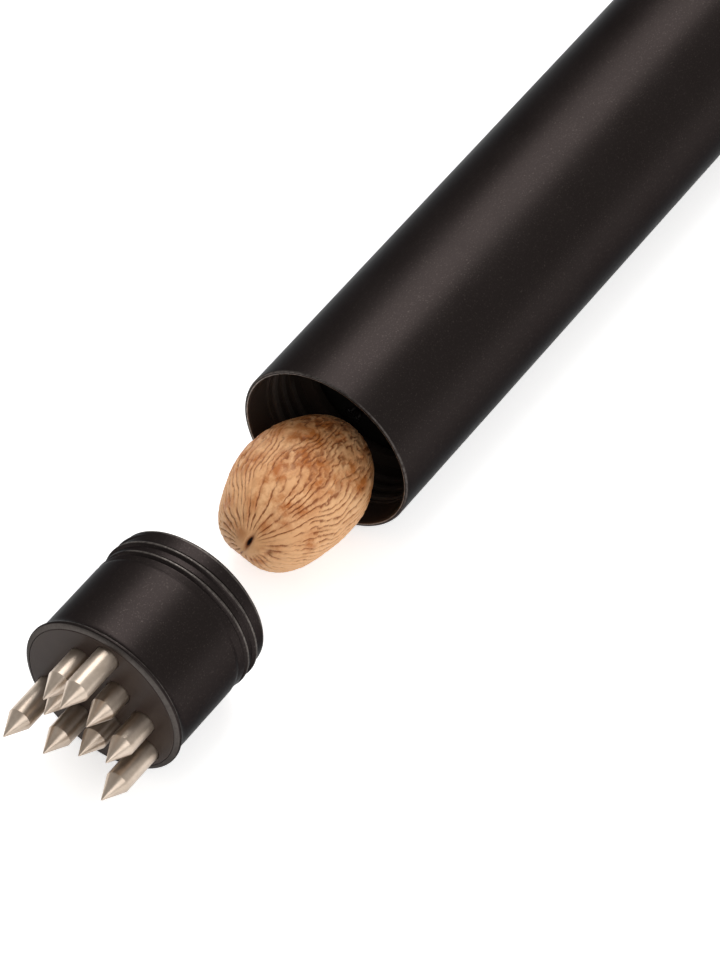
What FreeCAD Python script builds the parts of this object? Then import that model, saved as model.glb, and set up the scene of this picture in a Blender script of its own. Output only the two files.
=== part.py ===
import FreeCAD, Part
import math
import os
import re
import Sketcher

# Hand-cranked nutmeg grater, in millimetres. +X runs along the barrel from its open mouth to
# the crank, +Z is up, and the origin is on the barrel's axis at the middle of its length.
# The barrel lies on the table with the spiked head unscrewed in front of its mouth and a
# nutmeg half out of the mouth.

doc = FreeCAD.newDocument("nutmeg_grater")
sheet = doc.addObject("Spreadsheet::Sheet", "sizes")
aliases = []


def size(alias, value):
    """Write one driving dimension to the next row of the sheet."""
    cell = "B" + str(len(aliases) + 1)
    sheet.set("A" + str(len(aliases) + 1), alias.replace("_", " "))
    sheet.set(cell, str(value))
    sheet.setAlias(cell, alias)
    aliases.append(alias)


# Barrel: outside, open mouth, nutmeg chamber and the powder slot underneath
size("barrel_length", 150.0)
size("barrel_radius", 15.0)
size("lip_radius", 14.47)
size("lip_round", 0.4)
size("mouth_radius", 14.2)
size("mouth_depth", 4.8)
size("shoulder_depth", 12.6)
size("seat_radius", 11.3)
size("seat_width", 1.4)
size("relief_width", 1.2)
size("chamber_radius", 12.3)
size("slot_depth", 36.0)
size("slot_length", 24.0)
size("slot_width", 10.0)

# Screw thread between the head and the mouth
size("thread_pitch", 2.1)
size("thread_root", 13.1)
size("thread_height", 0.42)
size("thread_base", 1.3)
size("thread_crest", 0.5)
size("thread_turns", 2.2)
size("thread_gap", 0.30)
size("thread_foot_gap", 0.17)

# Spiked head: shell, plate and the pattern of its spikes
size("head_gap", 35.05)
size("head_side", 0.15)
size("head_length", 23.07)
size("head_radius", 13.35)
size("flange_radius", 13.87)
size("flange_width", 1.34)
size("face_radius", 12.95)
size("face_chamfer", 0.33)
size("rim_radius", 12.92)
size("rim_width", 0.5)
size("cup_radius", 11.1)
size("plate_thickness", 5.0)
size("plate_lip", 1.3)
size("plate_boss", 12.6)
size("spike_radius", 1.95)
size("point_length", 4.0)
size("point_flat", 0.08)
size("tail_radius", 0.8)
size("tail_length", 2.0)
size("nest_radius", 14.0)
size("nest_rise", 7.0)
size("inner_ring", 4.65)
size("middle_ring", 7.45)
size("outer_ring", 10.2)
size("inner_turn", 47.2)
size("middle_turn", 116.6)
size("outer_turn", 81.5)

# Rubber seal in the head's rear rim
size("seal_inner", 11.5)
size("seal_outer", 12.2)
size("seal_sunk", 0.7)
size("seal_stand", 0.6)

# Nutmeg
size("nutmeg_radius", 10.3)
size("nutmeg_half", 14.5)
size("nutmeg_out", 6.3)
size("nutmeg_side", 0.9)
size("nutmeg_gap", 0.3)

# Grating rotor: disc, hub sleeve, feed spring and drive pin
size("disc_depth", 14.6)
size("disc_radius", 11.8)
size("disc_thickness", 0.8)
size("disc_hole", 0.75)
size("tooth_height", 0.5)
size("tooth_radius", 0.55)
size("tooth_step", 1.35)
size("centre_ring", 2.4)
size("near_ring", 7.5)
size("far_ring", 9.7)
size("hub_radius", 10.6)
size("hub_thickness", 2.2)
size("window_radius", 1.7)
size("window_ring", 8.4)
size("sleeve_radius", 6.4)
size("sleeve_length", 28.0)
size("spring_wire", 1.2)
size("spring_turns", 10.0)
size("spring_gap", 0.35)
size("spring_end", 0.1)
size("pin_radius", 1.25)
size("pin_depth", 41.0)
size("pin_play", 0.3)
size("disc_screw_ring", 5.0)
size("disc_screw_radius", 1.0)
size("disc_screw_head", 1.8)
size("disc_screw_head_width", 0.6)

# Spindle and its bearings
size("shaft_radius", 4.0)
size("run_gap", 0.04)
size("seat_gap", 0.02)
size("tip_gap", 0.4)
size("collar_depth", 64.0)
size("collar_width", 6.0)
size("collar_radius", 8.6)
size("bridge_depth", 78.0)
size("bridge_width", 6.0)
size("bush_radius", 6.0)
size("bush_flange", 7.6)
size("bush_flange_width", 1.2)
size("spigot_length", 12.0)
size("cap_width", 5.0)
size("cap_edge", 1.2)
size("washer_width", 0.8)
size("washer_radius", 7.4)
size("clip_width", 0.9)
size("clip_radius", 5.6)
size("clip_groove", 0.7)
size("clip_mouth", 5.0)
size("cap_screw_radius", 1.25)
size("cap_screw_head", 2.3)
size("cap_screw_bite", 2.5)
size("cap_screw_socket", 0.95)
size("cap_screw_sunk", 0.25)

# Crank and knob
size("crank_reach", 45.0)
size("arm_width", 13.0)
size("arm_thickness", 5.0)
size("square_side", 5.6)
size("arm_edge", 0.8)
size("stud_radius", 2.5)
size("stud_length", 5.5)
size("nut_radius", 4.6)
size("nut_length", 4.0)
size("nut_dome_radius", 3.7)
size("knob_radius", 8.5)
size("knob_waist", 6.3)
size("knob_length", 28.0)
size("knob_neck", 5.0)
size("knob_grip", 14.0)
size("knob_round", 2.0)
size("knob_gap", 0.5)
size("pin_slot_width", 1.0)
size("knob_pin_radius", 3.0)
size("knob_pin_head", 4.8)
size("knob_pin_head_width", 2.4)
doc.recompute()


def value(expression):
    """The number an expression of sheet aliases comes to."""
    return float(sheet.evalExpression(expression))


def bound(expression):
    """The same expression as another object of the document reads it."""
    return re.sub(
        r"[a-z_]+", lambda word: "sizes." + word[0] if word[0] in aliases else word[0], expression)


# Places along the axis, as depths behind the plane of the mouth
FLOOR = "(-barrel_radius)"
HEAD_DROP = "(barrel_radius - flange_radius)"
TRAVEL = "(shoulder_depth - seat_gap + head_gap - seal_stand)"
CUP_FLOOR_HOME = f"({TRAVEL} - head_gap - head_length + plate_thickness)"
NUTMEG_HOME = f"({CUP_FLOOR_HOME} + tail_length + nutmeg_gap + nutmeg_half)"
FEED = f"({NUTMEG_HOME} + nutmeg_half + nutmeg_gap - disc_depth)"
DISC_BACK = "(disc_depth + disc_thickness)"
HUB_BACK = f"({DISC_BACK} + hub_thickness)"
SHAFT_TIP = f"({HUB_BACK} + {FEED} + tip_gap)"
CAP_FACE = "(barrel_length + cap_width)"
ARM_FACE = f"({CAP_FACE} + washer_width + 2 * run_gap)"
ARM_BACK = f"({ARM_FACE} + arm_thickness)"
CLIP_DEPTH = "(barrel_length - spigot_length - bush_flange_width - run_gap - clip_width)"
SPIGOT_RADIUS = "(chamber_radius - seat_gap)"
BORE = "(shaft_radius + run_gap)"
MALE_CREST = "(thread_root + thread_height)"
FEMALE_CREST = "(thread_root + thread_gap)"
FEMALE_ROOT = "(thread_root + thread_height + thread_gap)"
RIDGE_START = "(rim_width + thread_base / 2 + thread_turns * thread_pitch)"
KNOB_RISE = f"({FLOOR} + knob_radius)"
ARM_ANGLE = f"asin({KNOB_RISE} / crank_reach)"
KNOB_ACROSS = f"(crank_reach * cos({ARM_ANGLE}))"


def world_x(depth):
    return f"({depth} - barrel_length / 2)"


def place(item, along, across="0", up="0", axis=(1, 0, 0), angle="0"):
    """Bind an object's Placement: a place, and a turn in degrees about one axis."""
    spot = f"create(<<vector>>; {bound(along)}; {bound(across)}; {bound(up)})"
    line = f"create(<<vector>>; {axis[0]}; {axis[1]}; {axis[2]})"
    turn = f"create(<<rotation>>; {line}; {bound(angle)})"
    item.setExpression("Placement", f"create(<<placement>>; {spot}; {turn})")


def new_body(name):
    body = doc.addObject("PartDesign::Body", name)
    body.Label = name
    return body


def origin_plane(body, role):
    return [item for item in body.Origin.OriginFeatures if item.Role == role][0]


def new_sketch(body, name, role, height="0"):
    """An empty sketch on one of the body's own planes, raised by height along its normal."""
    sketch = body.newObject("Sketcher::SketchObject", name)
    sketch.AttachmentSupport = [(origin_plane(body, role), "")]
    sketch.MapMode = "FlatFace"
    if height != "0":
        sketch.setExpression("AttachmentOffset.Base.z", bound(height))
    return sketch


def dimension(sketch, constraint, name, expression):
    """Add one driving constraint and bind it to the sheet."""
    index = sketch.addConstraint(constraint)
    sketch.renameConstraint(index, name)
    sketch.setExpression("Constraints." + name, bound(expression))


def pin_point(sketch, geometry, point, across, up, name):
    """Hold a point at (across, up) from the sketch's origin; a plain 0 puts it on the axis."""
    if across == "0":
        sketch.addConstraint(Sketcher.Constraint("PointOnObject", geometry, point, -2))
    else:
        rule = Sketcher.Constraint("DistanceX", -1, 1, geometry, point, value(across))
        dimension(sketch, rule, name + "_across", across)
    if up == "0":
        sketch.addConstraint(Sketcher.Constraint("PointOnObject", geometry, point, -1))
    else:
        rule = Sketcher.Constraint("DistanceY", -1, 1, geometry, point, value(up))
        dimension(sketch, rule, name + "_up", up)


def draw_outline(sketch, corners):
    """A closed outline of straight lines, each corner held by its two expressions."""
    spots = [FreeCAD.Vector(value(across), value(up), 0) for across, up in corners]
    for index, spot in enumerate(spots):
        sketch.addGeometry(Part.LineSegment(spot, spots[(index + 1) % len(spots)]), False)
    for index in range(len(spots)):
        after = (index + 1) % len(spots)
        sketch.addConstraint(Sketcher.Constraint("Coincident", index, 2, after, 1))
    for index, (across, up) in enumerate(corners):
        pin_point(sketch, index, 1, across, up, "corner_" + str(index))


def draw_slot(sketch, start, end, half_width):
    """A round-ended slot along the sketch's X axis; start and end are its two centres."""
    first, last, wide = value(start), value(end), value(half_width)
    normal = FreeCAD.Vector(0, 0, 1)
    side = FreeCAD.Vector(0, wide, 0)
    left = FreeCAD.Vector(first, 0, 0)
    right = FreeCAD.Vector(last, 0, 0)
    quarter = math.pi / 2
    for piece in (
        Part.LineSegment(left + side, right + side),
        Part.ArcOfCircle(Part.Circle(right, normal, wide), -quarter, quarter),
        Part.LineSegment(right - side, left - side),
        Part.ArcOfCircle(Part.Circle(left, normal, wide), quarter, 3 * quarter),
    ):
        sketch.addGeometry(piece, False)
    for one, its_end, other, other_end in ((0, 2, 1, 2), (1, 1, 2, 1), (2, 2, 3, 2), (3, 1, 0, 1)):
        sketch.addConstraint(Sketcher.Constraint("Tangent", one, its_end, other, other_end))
    sketch.addConstraint(Sketcher.Constraint("Equal", 1, 3))
    pin_point(sketch, 3, 3, start, "0", "start")
    pin_point(sketch, 1, 3, end, "0", "end")
    dimension(sketch, Sketcher.Constraint("Radius", 1, wide), "half_width", half_width)


def turned(name, corners):
    """A body turned on its own X axis from an outline of (along, radius) corners."""
    body = new_body(name)
    sketch = new_sketch(body, name + "_outline", "XY_Plane")
    draw_outline(sketch, corners)
    spin = body.newObject("PartDesign::Revolution", name + "_turning")
    spin.Profile = sketch
    spin.ReferenceAxis = (sketch, ["H_Axis"])
    spin.Angle = 360.0
    doc.recompute()
    return body


def tube(name, outer, inner, length):
    """A plain turned ring or bush."""
    return turned(name, [("0", inner), (length, inner), (length, outer), ("0", outer)])


def pocket_through(body, name, role, draw, both_ways=True):
    """Cut a drawn outline through the body, checked by the volume it takes away."""
    before = body.Shape.Volume
    sketch = new_sketch(body, name + "_outline", role)
    draw(sketch)
    cut = body.newObject("PartDesign::Pocket", name)
    cut.Profile = sketch
    cut.Type = "ThroughAll"
    cut.Midplane = both_ways
    doc.recompute()
    if body.Shape.Volume >= before:
        raise RuntimeError(name + " cuts nothing")
    return cut


def helix_feature(body, kind, name, corners, start_angle, height):
    """A screw ridge or groove: an outline of (along, radius) corners led along a helix."""
    sketch = new_sketch(body, name + "_outline", "XY_Plane")
    draw_outline(sketch, corners)
    sketch.setExpression("AttachmentOffset", bound(
        f"create(<<placement>>; create(<<vector>>; 0; 0; 0); "
        f"create(<<rotation>>; create(<<vector>>; 1; 0; 0); {start_angle}))"))
    helix = body.newObject("PartDesign::" + kind, name)
    helix.Profile = sketch
    helix.ReferenceAxis = (sketch, ["H_Axis"])
    helix.Mode = "pitch-height-angle"
    helix.setExpression("Pitch", bound("thread_pitch"))
    helix.setExpression("Height", bound(height))
    helix.LeftHanded = False
    doc.recompute()
    return helix


def cylinder(name, radius, length, along="0", across="0", up="0", axis=(0, 1, 0), angle="90"):
    """A plain cylinder; the default turn lays it along X."""
    item = doc.addObject("Part::Cylinder", name)
    item.setExpression("Radius", bound(radius))
    item.setExpression("Height", bound(length))
    place(item, along, across, up, axis, angle)
    return item


def cone(name, first_radius, last_radius, length, along="0", across="0", up="0"):
    """A cone that lies along X, with its first radius at the low end."""
    item = doc.addObject("Part::Cone", name)
    item.setExpression("Radius1", bound(first_radius))
    item.setExpression("Radius2", bound(last_radius))
    item.setExpression("Height", bound(length))
    place(item, along, across, up, (0, 1, 0), "90")
    return item


def hexagon(name, corner_radius, length, along="0"):
    """A six-sided bar that lies along X."""
    item = doc.addObject("Part::Prism", name)
    item.Polygon = 6
    item.setExpression("Circumradius", bound(corner_radius))
    item.setExpression("Height", bound(length))
    place(item, along, axis=(0, 1, 0), angle="90")
    return item


def disc_tooth(name, across, up):
    """One raised tooth of the grating disc, pointing out of its front face."""
    return cone(name, "tooth_radius / 4", "tooth_radius", "tooth_height + disc_thickness / 4",
                "-tooth_height", across, up)


def joined(kind, name, first, second):
    """A boolean of two objects: Part::Cut or Part::Fuse."""
    item = doc.addObject(kind, name)
    item.Label = name
    item.Base = first
    item.Tool = second
    return item


def grouped(name, items):
    """Separate solids kept together in one object."""
    item = doc.addObject("Part::Compound", name)
    item.Label = name
    item.Links = items
    return item


# The object's nodes, in the order in which it is put together
nodes = []


def keep(item, name, depth, across="0", up="0", axis=(1, 0, 0), angle="0"):
    """Name a finished piece, put it at its depth behind the mouth and list it as a node."""
    item.Label = name
    place(item, world_x(depth), across, up, axis, angle)
    nodes.append(item)
    return item


def around(count, first=0.0):
    """Evenly spaced angles, in degrees."""
    return [first + 360.0 / count * number for number in range(count)]


def ring_of(name, kind, ring, angles, *sizes):
    """One cylinder or cone at each angle of a ring round the X axis."""
    return [
        kind(name + "_" + str(number), *sizes,
             across=f"-({ring}) * cos({angle})", up=f"({ring}) * sin({angle})")
        for number, angle in enumerate(angles)
    ]


# ---- barrel: a turned tube, threaded inside its mouth, with a powder slot underneath ----
barrel_tube = turned("barrel_tube", [
    ("0", "barrel_radius - lip_round"),
    ("lip_round", "barrel_radius"),
    ("barrel_length", "barrel_radius"),
    ("barrel_length", "chamber_radius"),
    ("shoulder_depth + seat_width", "chamber_radius"),
    ("shoulder_depth + seat_width", "seat_radius"),
    ("shoulder_depth", "seat_radius"),
    ("shoulder_depth", FEMALE_ROOT),
    ("shoulder_depth - relief_width", FEMALE_ROOT),
    ("shoulder_depth - relief_width", FEMALE_CREST),
    ("mouth_depth", FEMALE_CREST),
    ("mouth_depth", "mouth_radius"),
    ("lip_radius - mouth_radius", "mouth_radius"),
    ("0", "lip_radius"),
])
uncut = barrel_tube.Shape.Volume
# the groove lies on the screw line that the head's ridge follows as the head is screwed home
GROOVE_START = "(mouth_depth - thread_base)"
GROOVE_TURN = f"(360 * ({GROOVE_START} + head_gap + {RIDGE_START}) / thread_pitch)"
GROOVE_TOP = "(thread_crest / 2 + thread_gap)"
GROOVE_FOOT = "(thread_base / 2 + thread_foot_gap)"
helix_feature(barrel_tube, "SubtractiveHelix", "mouth_thread", [
    (f"{GROOVE_START} - {GROOVE_FOOT}", "thread_root"),
    (f"{GROOVE_START} - {GROOVE_TOP}", FEMALE_ROOT),
    (f"{GROOVE_START} + {GROOVE_TOP}", FEMALE_ROOT),
    (f"{GROOVE_START} + {GROOVE_FOOT}", "thread_root"),
], GROOVE_TURN, f"shoulder_depth - relief_width / 2 - {GROOVE_START}")
if barrel_tube.Shape.Volume >= uncut:
    raise RuntimeError("mouth_thread cuts nothing")

SLOT_FIRST = "(slot_depth + slot_width / 2)"
SLOT_LAST = "(slot_depth + slot_length - slot_width / 2)"
pocket_through(
    barrel_tube, "powder_slot", "XY_Plane",
    lambda sketch: draw_slot(sketch, SLOT_FIRST, SLOT_LAST, "slot_width / 2"), both_ways=False)
under = FreeCAD.Vector(value(SLOT_FIRST), 0, -value("(barrel_radius + chamber_radius) / 2"))
if barrel_tube.Shape.isInside(under, 0.01, True):
    raise RuntimeError("powder_slot isn't underneath")

# three countersunk screws hold the rear cap's spigot inside the barrel
SCREW_DEPTH = "(barrel_length - spigot_length / 2)"
SCREW_TOP = "(barrel_radius - cap_screw_sunk)"
SCREW_END = f"({SPIGOT_RADIUS} - cap_screw_bite)"
SCREW_NECK = f"({SCREW_TOP} - cap_screw_head + cap_screw_radius)"
SCREW_TURNS = around(3, 90.0)


def point_outward(item, along, turn):
    """Turn a piece made along X to point straight out from the barrel's axis."""
    slant = math.radians(turn)
    place(item, along, axis=(0, -math.sin(slant), math.cos(slant)), angle="90")
    return item


def screw_holes(name, along):
    """The three countersunk holes for the cap screws."""
    holes = [turned(name + "_" + str(number), [
        (f"{SCREW_END} - seat_gap", "0"),
        (f"{SCREW_END} - seat_gap", "cap_screw_radius + seat_gap"),
        (SCREW_NECK, "cap_screw_radius + seat_gap"),
        (SCREW_TOP, "cap_screw_head + seat_gap"),
        ("barrel_radius + cap_screw_sunk", "cap_screw_head + seat_gap"),
        ("barrel_radius + cap_screw_sunk", "0"),
    ]) for number in range(len(SCREW_TURNS))]
    return grouped(name, [point_outward(hole, along, turn) for hole, turn in zip(holes, SCREW_TURNS)])


keep(joined("Part::Cut", "barrel_cut", barrel_tube, screw_holes("barrel_hole", SCREW_DEPTH)),
     "barrel", "0")

# ---- front bearing: a bridge pressed into the barrel behind the powder chamber ----
keep(tube("bridge_ring", SPIGOT_RADIUS, "bush_radius + seat_gap", "bridge_width"),
     "bearing_bridge", "bridge_depth")


def flanged_bush(name, length):
    return turned(name, [
        ("0", BORE),
        ("0", "bush_flange"),
        ("bush_flange_width", "bush_flange"),
        ("bush_flange_width", "bush_radius"),
        (f"bush_flange_width + {length}", "bush_radius"),
        (f"bush_flange_width + {length}", BORE),
    ])


keep(flanged_bush("front_bearing", "bridge_width"), "front_bush", "bridge_depth - bush_flange_width")

# ---- rear cap: closes the barrel and carries the rear bush ----
cap_turning = turned("cap_turning", [
    ("0", "bush_radius + seat_gap"),
    ("0", SPIGOT_RADIUS),
    ("spigot_length", SPIGOT_RADIUS),
    ("spigot_length", "barrel_radius"),
    ("spigot_length + cap_width - cap_edge", "barrel_radius"),
    ("spigot_length + cap_width", "barrel_radius - cap_edge"),
    ("spigot_length + cap_width", "bush_radius + seat_gap"),
])
keep(joined("Part::Cut", "cap_cut", cap_turning, screw_holes("cap_hole", "spigot_length / 2")),
     "rear_cap", "barrel_length - spigot_length")
keep(flanged_bush("rear_bearing", "spigot_length + cap_width"),
     "rear_bush", "barrel_length - spigot_length - bush_flange_width")


def cap_screw(name):
    """A countersunk screw with a hexagon socket, along X from the barrel's axis."""
    blank = turned(name + "_blank", [
        (SCREW_END, "0"),
        (SCREW_END, "cap_screw_radius"),
        (SCREW_NECK, "cap_screw_radius"),
        (SCREW_TOP, "cap_screw_head"),
        (SCREW_TOP, "0"),
    ])
    return joined("Part::Cut", name, blank, hexagon(
        name + "_socket", "cap_screw_socket", "cap_screw_head", f"{SCREW_TOP} - cap_screw_radius"))


keep(grouped("screw_group", [
    point_outward(cap_screw("cap_screw_" + str(number)), "0", turn)
    for number, turn in enumerate(SCREW_TURNS)
]), "cap_screws", SCREW_DEPTH)

# ---- spindle: turned bar with a squared end and a threaded stud for the crank ----
SHAFT_LENGTH = f"({ARM_FACE} - {SHAFT_TIP})"
CLIP_SPOT = f"({CLIP_DEPTH} - {SHAFT_TIP})"
bar = turned("spindle_bar", [
    ("0", "0"),
    ("0", "shaft_radius - arm_edge / 2"),
    ("arm_edge / 2", "shaft_radius"),
    (f"{CLIP_SPOT} - seat_gap", "shaft_radius"),
    (f"{CLIP_SPOT} - seat_gap", "shaft_radius - clip_groove"),
    (f"{CLIP_SPOT} + clip_width + seat_gap", "shaft_radius - clip_groove"),
    (f"{CLIP_SPOT} + clip_width + seat_gap", "shaft_radius"),
    (SHAFT_LENGTH, "shaft_radius"),
    (SHAFT_LENGTH, "0"),
])
square = doc.addObject("Part::Box", "spindle_square")
square.setExpression("Length", bound("arm_thickness"))
square.setExpression("Width", bound("square_side"))
square.setExpression("Height", bound("square_side"))
SQUARE_CORNER = f"({ARM_ANGLE} + 45 deg)"
HALF_DIAGONAL = "(square_side / sqrt(2))"
place(square, SHAFT_LENGTH, f"-cos({SQUARE_CORNER}) * {HALF_DIAGONAL}",
      f"-sin({SQUARE_CORNER}) * {HALF_DIAGONAL}", (1, 0, 0), ARM_ANGLE)
stud = cylinder("spindle_stud", "stud_radius", "arm_thickness + stud_length", SHAFT_LENGTH)
whole_bar = doc.addObject("Part::MultiFuse", "whole_spindle")
whole_bar.Shapes = [bar, square, stud]


def cross_bar(name, depth, radius, half_length):
    """An upright cylinder centred on the axis at a depth along the piece: a pin or its hole."""
    item = doc.addObject("Part::Cylinder", name)
    item.setExpression("Radius", bound(radius))
    item.setExpression("Height", bound(f"2 * ({half_length})"))
    place(item, depth, "0", f"-({half_length})")
    return item


COLLAR_MIDDLE = "(collar_depth + collar_width / 2)"
pin_holes = grouped("pin_holes", [
    cross_bar(name, f"{depth} - {SHAFT_TIP}", "pin_radius + seat_gap", "barrel_radius")
    for name, depth in (("drive_pin_hole", "pin_depth"), ("collar_pin_hole", COLLAR_MIDDLE))])
keep(joined("Part::Cut", "spindle_cut", whole_bar, pin_holes), "spindle", SHAFT_TIP)

# ---- drive pin and spring collar, both pinned across the spindle ----
DRIVE_PIN_HALF = "(sleeve_radius - pin_play)"
COLLAR_PIN_HALF = "(collar_radius - pin_play)"
keep(cross_bar("drive_pin_bar", "0", "pin_radius", DRIVE_PIN_HALF),
     "drive_pin", "pin_depth", up=f"-{DRIVE_PIN_HALF}")
collar_ring = tube("collar_ring", "collar_radius", "shaft_radius + seat_gap", "collar_width")
collar_hole = cross_bar("collar_hole", "collar_width / 2", "pin_radius + seat_gap", "barrel_radius")
keep(joined("Part::Cut", "collar_cut", collar_ring, collar_hole), "spring_collar", "collar_depth")
keep(cross_bar("collar_pin_bar", "0", "pin_radius", COLLAR_PIN_HALF),
     "collar_pin", COLLAR_MIDDLE, up=f"-{COLLAR_PIN_HALF}")

# ---- feed spring: a round-wire coil between the hub's flange and the collar ----
COIL_RADIUS = "(sleeve_radius + spring_gap + spring_wire / 2)"
COIL_LENGTH = f"(collar_depth - {HUB_BACK} - spring_wire - 2 * spring_end)"
coil = doc.addObject("Part::Helix", "coil_line")
coil.setExpression("Radius", bound(COIL_RADIUS))
coil.setExpression("Pitch", bound(f"{COIL_LENGTH} / spring_turns"))
coil.setExpression("Height", bound(COIL_LENGTH))
wire_ring = doc.addObject("Part::Circle", "wire_ring")
wire_ring.setExpression("Radius", bound("spring_wire / 2"))
place(wire_ring, COIL_RADIUS, axis=(1, 0, 0), angle="90")
spring = doc.addObject("Part::Sweep", "spring_sweep")
spring.Sections = [wire_ring]
spring.Spine = coil
spring.Solid = True
spring.Frenet = True
keep(spring, "feed_spring", f"{HUB_BACK} + spring_end + spring_wire / 2", axis=(0, 1, 0), angle="90")

# ---- what keeps the spindle endways: a sprung ring inside and a washer outside ----
ring = tube("ring_blank", "clip_radius", "shaft_radius - clip_groove + seat_gap", "clip_width")
ring_mouth = doc.addObject("Part::Box", "ring_mouth")
ring_mouth.setExpression("Length", bound("clip_width"))
ring_mouth.setExpression("Width", bound("clip_mouth"))
ring_mouth.setExpression("Height", bound("clip_radius"))
place(ring_mouth, "0", "-clip_mouth / 2", "0")
keep(joined("Part::Cut", "ring_cut", ring, ring_mouth), "retaining_ring", CLIP_DEPTH)
keep(tube("washer_blank", "washer_radius", BORE, "washer_width"),
     "thrust_washer", f"{CAP_FACE} + run_gap")

# ---- crank: flat arm on the spindle's square, held by a domed nut ----
arm_bar = new_body("arm_bar")
arm_outline = new_sketch(arm_bar, "arm_outline", "YZ_Plane")
draw_slot(arm_outline, "0", "crank_reach", "arm_width / 2")
arm_pad = arm_bar.newObject("PartDesign::Pad", "arm_pad")
arm_pad.Profile = arm_outline
arm_pad.setExpression("Length", bound("arm_thickness"))
doc.recompute()
flats = [f"Face{number}" for number, face in enumerate(arm_pad.Shape.Faces, 1)
         if abs(face.normalAt(0, 0).x) > 0.9]
arm_edges = arm_bar.newObject("PartDesign::Chamfer", "arm_edges")
arm_edges.Base = (arm_pad, flats)
arm_edges.setExpression("Size", bound("arm_edge"))
square_hole = doc.addObject("Part::Box", "square_hole")
square_hole.setExpression("Length", bound("arm_thickness"))
square_hole.setExpression("Width", bound("square_side + 2 * seat_gap"))
square_hole.setExpression("Height", bound("square_side + 2 * seat_gap"))
place(square_hole, "0", "-(square_side / 2 + seat_gap)", "-(square_side / 2 + seat_gap)")
arm_holes = grouped("arm_holes", [
    square_hole,
    cylinder("knob_pin_hole", "stud_radius + seat_gap", "arm_thickness", across="crank_reach"),
])
keep(joined("Part::Cut", "arm_cut", arm_bar, arm_holes), "crank_arm", ARM_FACE, angle=ARM_ANGLE)
nut_dome = doc.addObject("Part::Sphere", "nut_dome")
nut_dome.setExpression("Radius", bound("nut_dome_radius"))
place(nut_dome, "nut_length")
nut_hexagon = hexagon("nut_hexagon", "nut_radius", "nut_length")
nut_blank = joined("Part::Fuse", "nut_blank", nut_hexagon, nut_dome)
nut_hole = cylinder(
    "nut_hole", "stud_radius + seat_gap", "stud_length + nut_radius", "seat_gap - nut_radius")
keep(joined("Part::Cut", "nut_cut", nut_blank, nut_hole), "crank_nut", ARM_BACK)

# ---- knob: turns on a shouldered pin screwed into the end of the arm ----
KNOB_START = f"({ARM_BACK} + knob_gap)"
PIN_SHANK_END = "(arm_thickness + knob_length + 2 * knob_gap)"
pin_turning = turned("pin_turning", [
    ("0", "0"),
    ("0", "stud_radius"),
    ("arm_thickness", "stud_radius"),
    ("arm_thickness", "knob_pin_radius"),
    (PIN_SHANK_END, "knob_pin_radius"),
    (PIN_SHANK_END, "knob_pin_head"),
    (f"{PIN_SHANK_END} + knob_pin_head_width - arm_edge", "knob_pin_head"),
    (f"{PIN_SHANK_END} + knob_pin_head_width", "knob_pin_head - arm_edge"),
    (f"{PIN_SHANK_END} + knob_pin_head_width", "0"),
])
pin_slot = doc.addObject("Part::Box", "pin_slot")
pin_slot.setExpression("Length", bound("knob_pin_head_width"))
pin_slot.setExpression("Width", bound("pin_slot_width"))
pin_slot.setExpression("Height", bound("2 * knob_pin_head"))
place(pin_slot, f"{PIN_SHANK_END} + knob_pin_head_width / 2", "-pin_slot_width / 2", "-knob_pin_head")
keep(joined("Part::Cut", "pin_cut", pin_turning, pin_slot),
     "knob_pin", ARM_FACE, KNOB_ACROSS, KNOB_RISE)
keep(turned("knob_turning", [
    ("0", "knob_pin_radius + run_gap"),
    ("0", "knob_waist - knob_round / 2"),
    ("knob_round / 2", "knob_waist"),
    ("knob_neck", "knob_waist"),
    ("knob_length - knob_grip", "knob_radius"),
    ("knob_length - knob_round", "knob_radius"),
    ("knob_length", "knob_radius - knob_round"),
    ("knob_length", "knob_pin_radius + run_gap"),
]), "knob", KNOB_START, KNOB_ACROSS, KNOB_RISE)

# ---- rotor: a grating disc on a hub whose sleeve slides on the spindle ----
SLEEVE_START = "hub_thickness"
PIN_AT_REST = f"(pin_depth - {DISC_BACK})"
hub_turning = turned("hub_turning", [
    ("0", "0"),
    ("0", "hub_radius"),
    (SLEEVE_START, "hub_radius"),
    (SLEEVE_START, "sleeve_radius"),
    (f"{SLEEVE_START} + sleeve_length", "sleeve_radius"),
    (f"{SLEEVE_START} + sleeve_length", BORE),
    (SLEEVE_START, BORE),
    (SLEEVE_START, "0"),
])
pocket_through(
    hub_turning, "drive_slot", "XY_Plane",
    lambda sketch: draw_slot(sketch, f"{PIN_AT_REST} - {FEED}", PIN_AT_REST, "pin_radius + run_gap"))
WINDOW_TURNS = around(6)
SCREW_SPOTS = around(3, 30.0)
hub_holes = grouped("hub_holes", [
    *ring_of("hub_window", cylinder, "window_ring", WINDOW_TURNS, "window_radius", "hub_thickness"),
    *ring_of("hub_tapping", cylinder, "disc_screw_ring", SCREW_SPOTS,
             "disc_screw_radius + seat_gap", "hub_thickness"),
])
keep(joined("Part::Cut", "hub_cut", hub_turning, hub_holes), "rotor_hub", DISC_BACK)

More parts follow.
